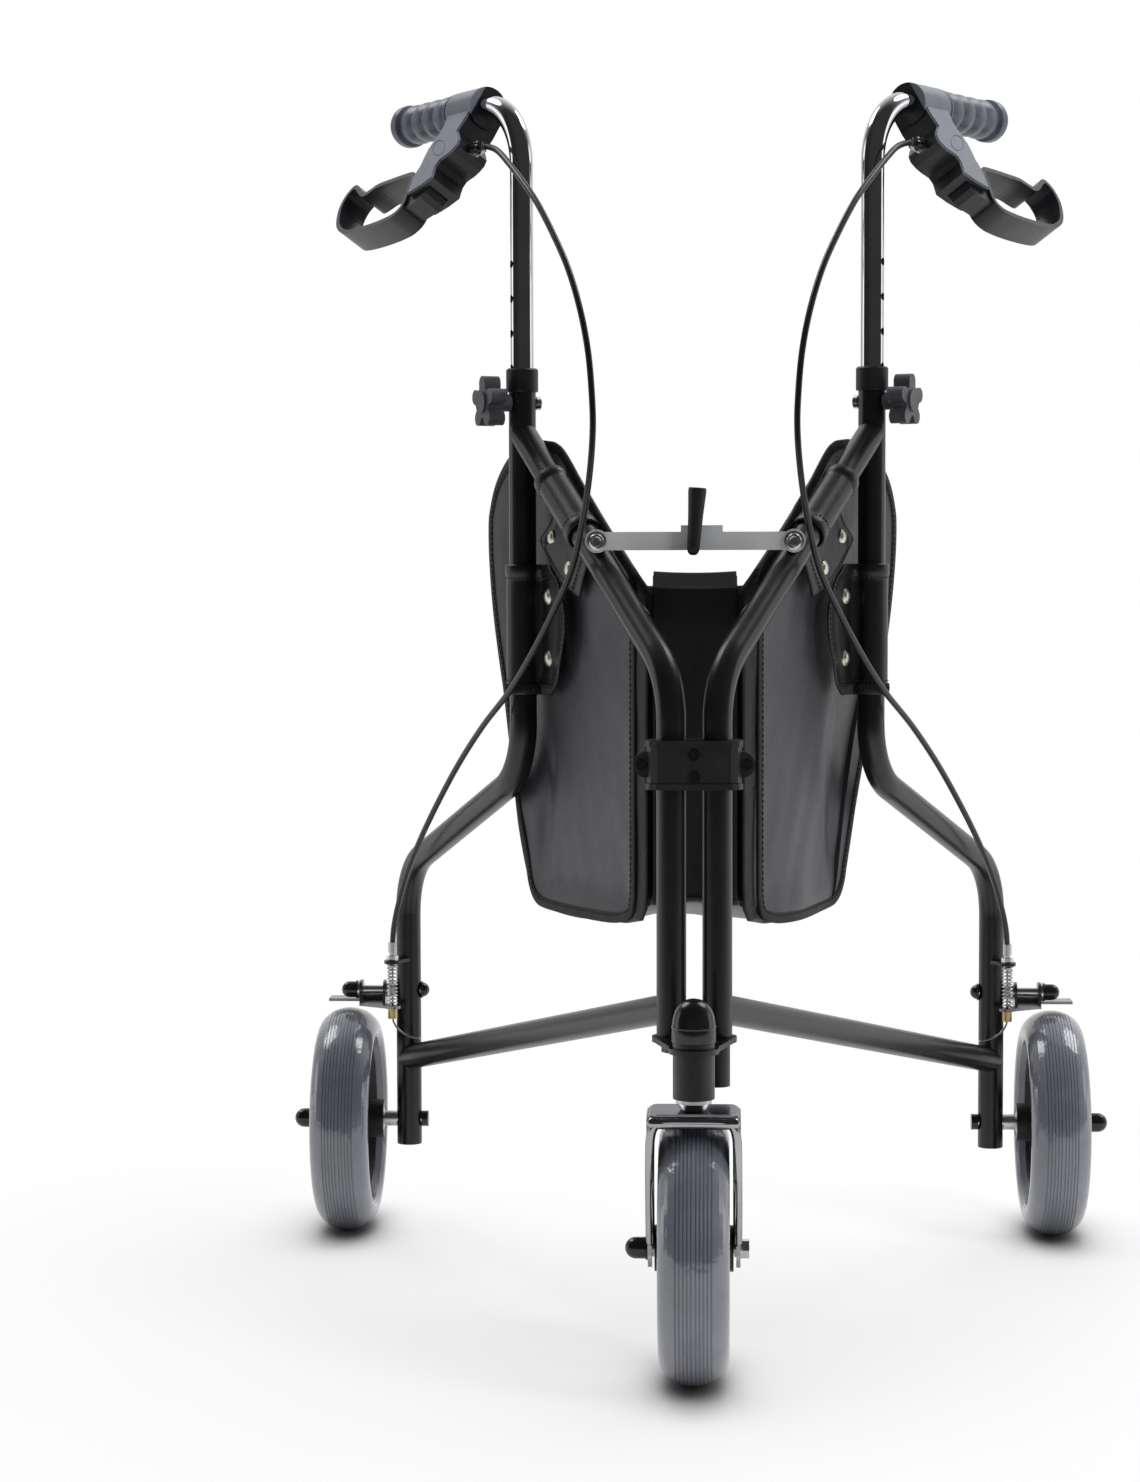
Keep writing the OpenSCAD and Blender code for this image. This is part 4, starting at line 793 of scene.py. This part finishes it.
def bag_shell():
    """Cloth of the bag's front, base and back, with its hems and piping."""
    cols = 44
    verts = []
    n = len(BAG_LINE)
    for k in (0, 1):
        for i, (r, z) in enumerate(BAG_LINE):
            a, b = BAG_LINE[max(i - 1, 0)], BAG_LINE[min(i + 1, n - 1)]
            t = Vector((0, (b[0] - a[0]) * CA, b[1] - a[1])).normalized()
            inward = Vector((0, -t.z, t.y))
            front = i < n * 0.33
            for j in range(cols + 1):
                u = 2 * j / cols - 1
                x = across(r, z, u)
                e = (1 - abs(u)) * bag_half(r, z, 1)
                body = ease(e / 0.05) * ease(min(i, n - 1 - i) / 8)
                wob = noise.noise(Vector((x * 22, r * 9 + z * 7, 2.3))) * 0.6 \
                    + noise.noise(Vector((x * 50, z * 16, 7.7))) * 0.3
                push = (0.0035 if front else 0.006) * body * (0.55 + wob)
                p = Vector((x, bag_y(r), z)) + inward * (push + 0.0012 * k)
                if i < 6 or i > n - 7:
                    drop = 1 - min(i, n - 1 - i) / 6
                    p.z -= (0.0012 if front else 0.010) * drop * (1 - u * u)
                verts.append(p)
    ob = outward(mesh("bag_cloth", verts, two_layers(n, cols + 1), M_NYLON))
    ob.data.materials.append(M_GREY)
    for p in ob.data.polygons:
        if p.center.z < BASE_HIGH and p.center.y < bag_y(0.27):
            p.material_index = 1
    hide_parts("bag_shell")
    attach(ob, "head")
    parts = []
    for name, r, z, drop, tall in HEMS:
        path = []
        for j in range(HEM_STEPS + 1):
            u = 2 * j / HEM_STEPS - 1
            path.append(Vector((across(r, z, u), bag_y(r), z - drop * (1 - u * u))))
        sect = [(tall / 2 * math.copysign(abs(math.sin(a)) ** 0.5, math.sin(a)),
                 0.0018 * math.copysign(abs(math.cos(a)) ** 0.7, math.cos(a)))
                for a in (2 * math.pi * i / 16 for i in range(16))]
        v, f = sweep(path, sect, up=(0, 0, 1))
        parts.append(outward(mesh(name, v, f, M_HEM)))
    # piping along the seam of the front and the base
    path = []
    for j in range(HEM_STEPS + 1):
        u = 2 * j / HEM_STEPS - 1
        path.append(Vector((across(0.068, 0.346, u), bag_y(0.068) - 0.0006,
                            0.3462 + 0.0016 * math.cos(math.pi * u))))
    v, f = sweep(path, circle(0.0014, 10))
    parts.append(outward(mesh("bag_base_piping", v, f, M_HEM)))
    for hem in parts:
        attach(hem, "head")
    for piece in [ob] + parts:
        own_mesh(piece)


bag_shell()

# bag straps, snaps and stitches
STRAP_T = 0.0013
HEM_W, HEM_RISE, HEM_EDGE = 0.0095, 0.0009, 0.0012
SNAP_PROFILE = [(0, -0.0008), (0.0066, -0.0008), (0.0068, 0.0003), (0.0062, 0.0011), (0.0052, 0.0012),
                (0.0048, 0.0016), (0.0040, 0.0023), (0.0024, 0.0028), (0, 0.0030)]


def strap(side, s, name, to_world, length, free, snaps, overlock):
    """Strap that wraps a tube and ends in a flap on the panel. to_world(q, o, a) takes distance across the
    tube, outward, and along it; free is the flap's free edge as (along, across)."""
    rr = TUBE + 0.0012
    flat = -PANEL + 0.0009
    wrap = [(rr * math.cos(math.radians(a)), rr * math.sin(math.radians(a))) for a in range(205, -101, -12)]
    near = -rr * 0.95
    steps = 14
    edge = smooth_line(free, 6)

    def line(a):
        """Section of the strap at a distance along the tube, from its free edge round the tube."""
        far = table(edge, a)
        pts = []
        for i in range(steps):
            t = 1 - i / steps
            q = near + (far - near) * t
            lift = 0.0055 * ease((t - 0.62) / 0.38) * ease(a / 0.03) + 0.0014 * math.sin(math.pi * t)
            pts.append((q, flat + lift + 0.0006 * noise.noise(Vector((q * 60, a * 45, s + 2.0)))))
        return pts + wrap

    def at(pts, i, d):
        """Point d outward of the section at point i."""
        n = len(pts)
        i0 = int(min(max(i, 0), n - 1))
        i1 = min(i0 + 1, n - 1)
        f = i - i0
        a, b = pts[max(i0 - 1, 0)], pts[min(i0 + 1, n - 1)]
        k = math.hypot(b[0] - a[0], b[1] - a[1])
        nx, ny = -(b[1] - a[1]) / k, (b[0] - a[0]) / k
        (x0, y0), (x1, y1) = pts[i0], pts[i1]
        return x0 * (1 - f) + x1 * f + nx * d, y0 * (1 - f) + y1 * f + ny * d

    inside = 16
    alongs = ([0, HEM_EDGE, HEM_W - HEM_EDGE, HEM_W]
              + [HEM_W + (length - 2 * HEM_W) * i / inside for i in range(1, inside)]
              + [length - HEM_W, length - HEM_W + HEM_EDGE, length - HEM_EDGE, length])
    hem = [0.0003, HEM_RISE, HEM_RISE, 0]
    rise = hem + [0] * (inside - 1) + hem[::-1]
    rows = [line(a) for a in alongs]
    n = len(rows[0])
    verts = []
    for k in (0, 1):
        for i in range(n):
            for pts, a, up in zip(rows, alongs, rise):
                q, o = at(pts, i, k * (STRAP_T + up))
                verts.append(to_world(q, o, a))
    ob = outward(mesh(side + "_" + name, verts, two_layers(n, len(alongs)), M_STRAP))
    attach(ob, side + "_frame")
    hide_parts(side + "_bag_panel")
    # stitches: a row along each hem and along the free edge, and slanted threads over the lower hem
    spans = []
    top = STRAP_T + 0.0002

    def sew(i0, a0, i1, a1, up=0.0):
        pts = []
        for t, lift in ((0, -0.0003), (0.5, 0.0003), (1, -0.0003)):
            i, a = i0 + (i1 - i0) * t, a0 + (a1 - a0) * t
            q, o = at(line(a), i, top + up + lift)
            pts.append(to_world(q, o, a))
        spans.append(pts)

    last = steps + 14
    for a in (HEM_W + 0.0016, length - HEM_W - 0.0016):
        i = 0.6
        while i < last:
            sew(i, a, i + 0.75, a)
            i += 1.15
    k = int((length - 2 * HEM_W) / 0.0042)
    for m in range(k):
        a = HEM_W + 0.002 + (length - 2 * HEM_W - 0.004) * m / k
        sew(0.9, a, 0.9, a + 0.0027)
    if overlock:
        i = 0.2
        while i < last:
            sew(i, HEM_EDGE, i + 0.55, HEM_W - 0.0006, HEM_RISE)
            i += 0.55
    st = stitches(side + "_" + name + "_stitches", side, spans)
    heap = Heap()
    for q, al in snaps:
        pts = line(al)
        i = next(i for i in range(n) if pts[i][0] >= q)
        o = at(pts, i, STRAP_T)[1]
        c = to_world(q, o, al)
        ax = to_world(q, o + 0.01, al) - c
        heap.add(lathe(SNAP_PROFILE, c, ax, 28))
    sn = outward(mesh(side + "_" + name + "_snaps", heap.v, heap.f, M_NICKEL))
    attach(sn, side + "_frame")


STRAP_Z, STRAP_LEN = 0.496, 0.106
STRAP_R, STRAP_W = 0.154, 0.078
for side, s in SIDES:
    def upright(q, o, a, s=s):
        return at_frame(SLEEVE_R + q, o, STRAP_Z + a, s)

    def diagonal(q, o, a, s=s):
        along = STRAP_R / math.cos(RISE) + a
        return at_frame(along * math.cos(RISE) - q * math.sin(RISE), o,
                        BEND_Z + along * math.sin(RISE) + q * math.cos(RISE), s)

    strap(side, s, "sleeve_strap", upright, STRAP_LEN,
          [(0, -0.031), (0.006, -0.040), (0.019, -0.054), (0.039, -0.065), (0.059, -0.070), (0.076, -0.068),
           (0.094, -0.055), (0.106, -0.040)],
          [(-0.029, 0.030), (-0.028, 0.080)], True)
    strap(side, s, "diagonal_strap", diagonal, STRAP_W,
          [(0, -0.060), (0.02, -0.063), (0.058, -0.063), (0.078, -0.058)],
          [(-0.0515, 0.026), (-0.050, 0.068)], False)

# light, floor and backdrop
# A white studio: plain light all round, and a backdrop that metal mirrors, white behind the object,
# dim behind the camera, with two bright strips at the sides and two soft boxes above.
world = bpy.data.worlds.new("studio")
scene.world = world
world.use_nodes = True
wt = world.node_tree


def wnode(kind, tree=wt):
    return tree.nodes.new(kind)


def wmath(op, a, b, tree=wt):
    n = wnode("ShaderNodeMath", tree)
    n.operation = op
    for i, x in enumerate((a, b)):
        if isinstance(x, (int, float)):
            n.inputs[i].default_value = x
        else:
            tree.links.new(x, n.inputs[i])
    return n.outputs[0]


def wrange(x, a, b, lo, hi, tree=wt):
    n = wnode("ShaderNodeMapRange", tree)
    n.interpolation_type = "SMOOTHSTEP"
    tree.links.new(x, n.inputs["Value"])
    for k, v in (("From Min", a), ("From Max", b), ("To Min", lo), ("To Max", hi)):
        n.inputs[k].default_value = v
    return n.outputs["Result"]


def seen(tree):
    """Camera rays, and the glossy and transmission rays that show the background in metal and glass."""
    lp = wnode("ShaderNodeLightPath", tree)
    both = wmath("MAXIMUM", lp.outputs["Is Glossy Ray"], lp.outputs["Is Transmission Ray"], tree)
    return lp.outputs["Is Camera Ray"], wmath("MAXIMUM", lp.outputs["Is Camera Ray"], both, tree)


camera_ray, shown = seen(wt)
ray = wnode("ShaderNodeTexCoord").outputs["Generated"]
sep = wnode("ShaderNodeSeparateXYZ")
wt.links.new(ray, sep.inputs[0])
aside, ahead, above = wmath("ABSOLUTE", sep.outputs["X"], 0.0), sep.outputs["Y"], sep.outputs["Z"]
toward_box = wmath("ADD", wmath("MULTIPLY", aside, 0.50),
                   wmath("ADD", wmath("MULTIPLY", ahead, 0.40), wmath("MULTIPLY", above, 0.77)))
boxes = wrange(toward_box, 0.962, 0.985, 0.0, 5.0)
edges = wmath("MULTIPLY", wrange(above, 0.30, 0.55, 1.6, 0.0),
              wmath("MULTIPLY", wrange(ahead, 0.02, 0.10, 0.0, 1.0), wrange(ahead, 0.34, 0.46, 1.0, 0.0)))
behind = wmath("MULTIPLY", wrange(ahead, -0.1, 0.95, 0.045, 1.0),
               wrange(sep.outputs["X"], -0.9, -0.2, 0.6, 1.0))
mirrored = wmath("MAXIMUM", wmath("MAXIMUM", behind, edges), boxes)
light = wnode("ShaderNodeBackground")
light.inputs["Color"].default_value = (1, 1, 1, 1)
wt.links.new(wrange(ahead, -0.9, 0.7, 0.14, 0.70), light.inputs["Strength"])
back = wt.nodes["Background"]
back.inputs["Color"].default_value = (1, 1, 1, 1)
wt.links.new(wmath("MAXIMUM", camera_ray, mirrored), back.inputs["Strength"])
both = wnode("ShaderNodeMixShader")
wt.links.new(shown, both.inputs["Fac"])
wt.links.new(light.outputs[0], both.inputs[1])
wt.links.new(back.outputs[0], both.inputs[2])
wt.links.new(both.outputs[0], wt.nodes["World Output"].inputs["Surface"])


def area(name, place, target, size, power, size_y=None):
    d = bpy.data.lights.new(name, "AREA")
    d.energy = power
    d.shape = "RECTANGLE"
    d.size = size
    d.size_y = size_y or size
    ob = bpy.data.objects.new(name, d)
    scene.collection.objects.link(ob)
    ob.location = place
    ob.rotation_euler = (Vector(target) - Vector(place)).to_track_quat("-Z", "Y").to_euler()
    ob.visible_glossy = False


area("key_left", (-2.0, -1.5, 1.9), (0, 0, 0.5), 0.8, 4, 2.0)
area("key_right", (2.1, -1.4, 1.7), (0, 0, 0.5), 0.7, 28, 2.0)
area("top", (0, 0.1, 2.8), (0, 0, 0.4), 1.6, 32)
area("back", (0.2, 2.4, 1.6), (0, 0, 0.6), 2.4, 22, 1.6)

# the floor goes to the white of the backdrop away from the object, and keeps its shadow near it,
# darkest where the tyres meet it
n = Nodes("pale_floor")
contact = n.node("ShaderNodeAmbientOcclusion", Distance=0.07)
n.colour(n.mix(n.ranged(contact.outputs["AO"], 0, 1, 0.25, 0.85), (0.20, 0.20, 0.205),
               n.mix(n.noise(3.0), (0.92, 0.92, 0.92), (0.95, 0.95, 0.95))))
n.rough(0.75)
nt = n.t
em = wnode("ShaderNodeEmission", nt)
em.inputs["Color"].default_value = (1, 1, 1, 1)
far = n.node("ShaderNodeVectorMath")
far.operation = "LENGTH"
n.link(n.co, far.inputs[0])
open_floor = wmath("MULTIPLY", wrange(contact.outputs["AO"], 0.30, 0.95, 0.0, 1.0, nt),
                   wrange(far.outputs["Value"], 0.40, 0.90, 0.50, 1.0, nt), nt)
white = wmath("MULTIPLY", seen(nt)[1], open_floor, nt)
mx = wnode("ShaderNodeMixShader", nt)
n.link(white, mx.inputs["Fac"])
n.link(n.b.outputs[0], mx.inputs[1])
n.link(em.outputs[0], mx.inputs[2])
n.link(mx.outputs[0], nt.nodes["Material Output"].inputs["Surface"])
# a paper sweep that ends in front of the object
floor = mesh("floor", [(-6, -1.3, 0), (6, -1.3, 0), (6, 9, 0), (-6, 9, 0)], [(0, 1, 2, 3)], n.m, False)

scene.view_settings.view_transform = "Standard"
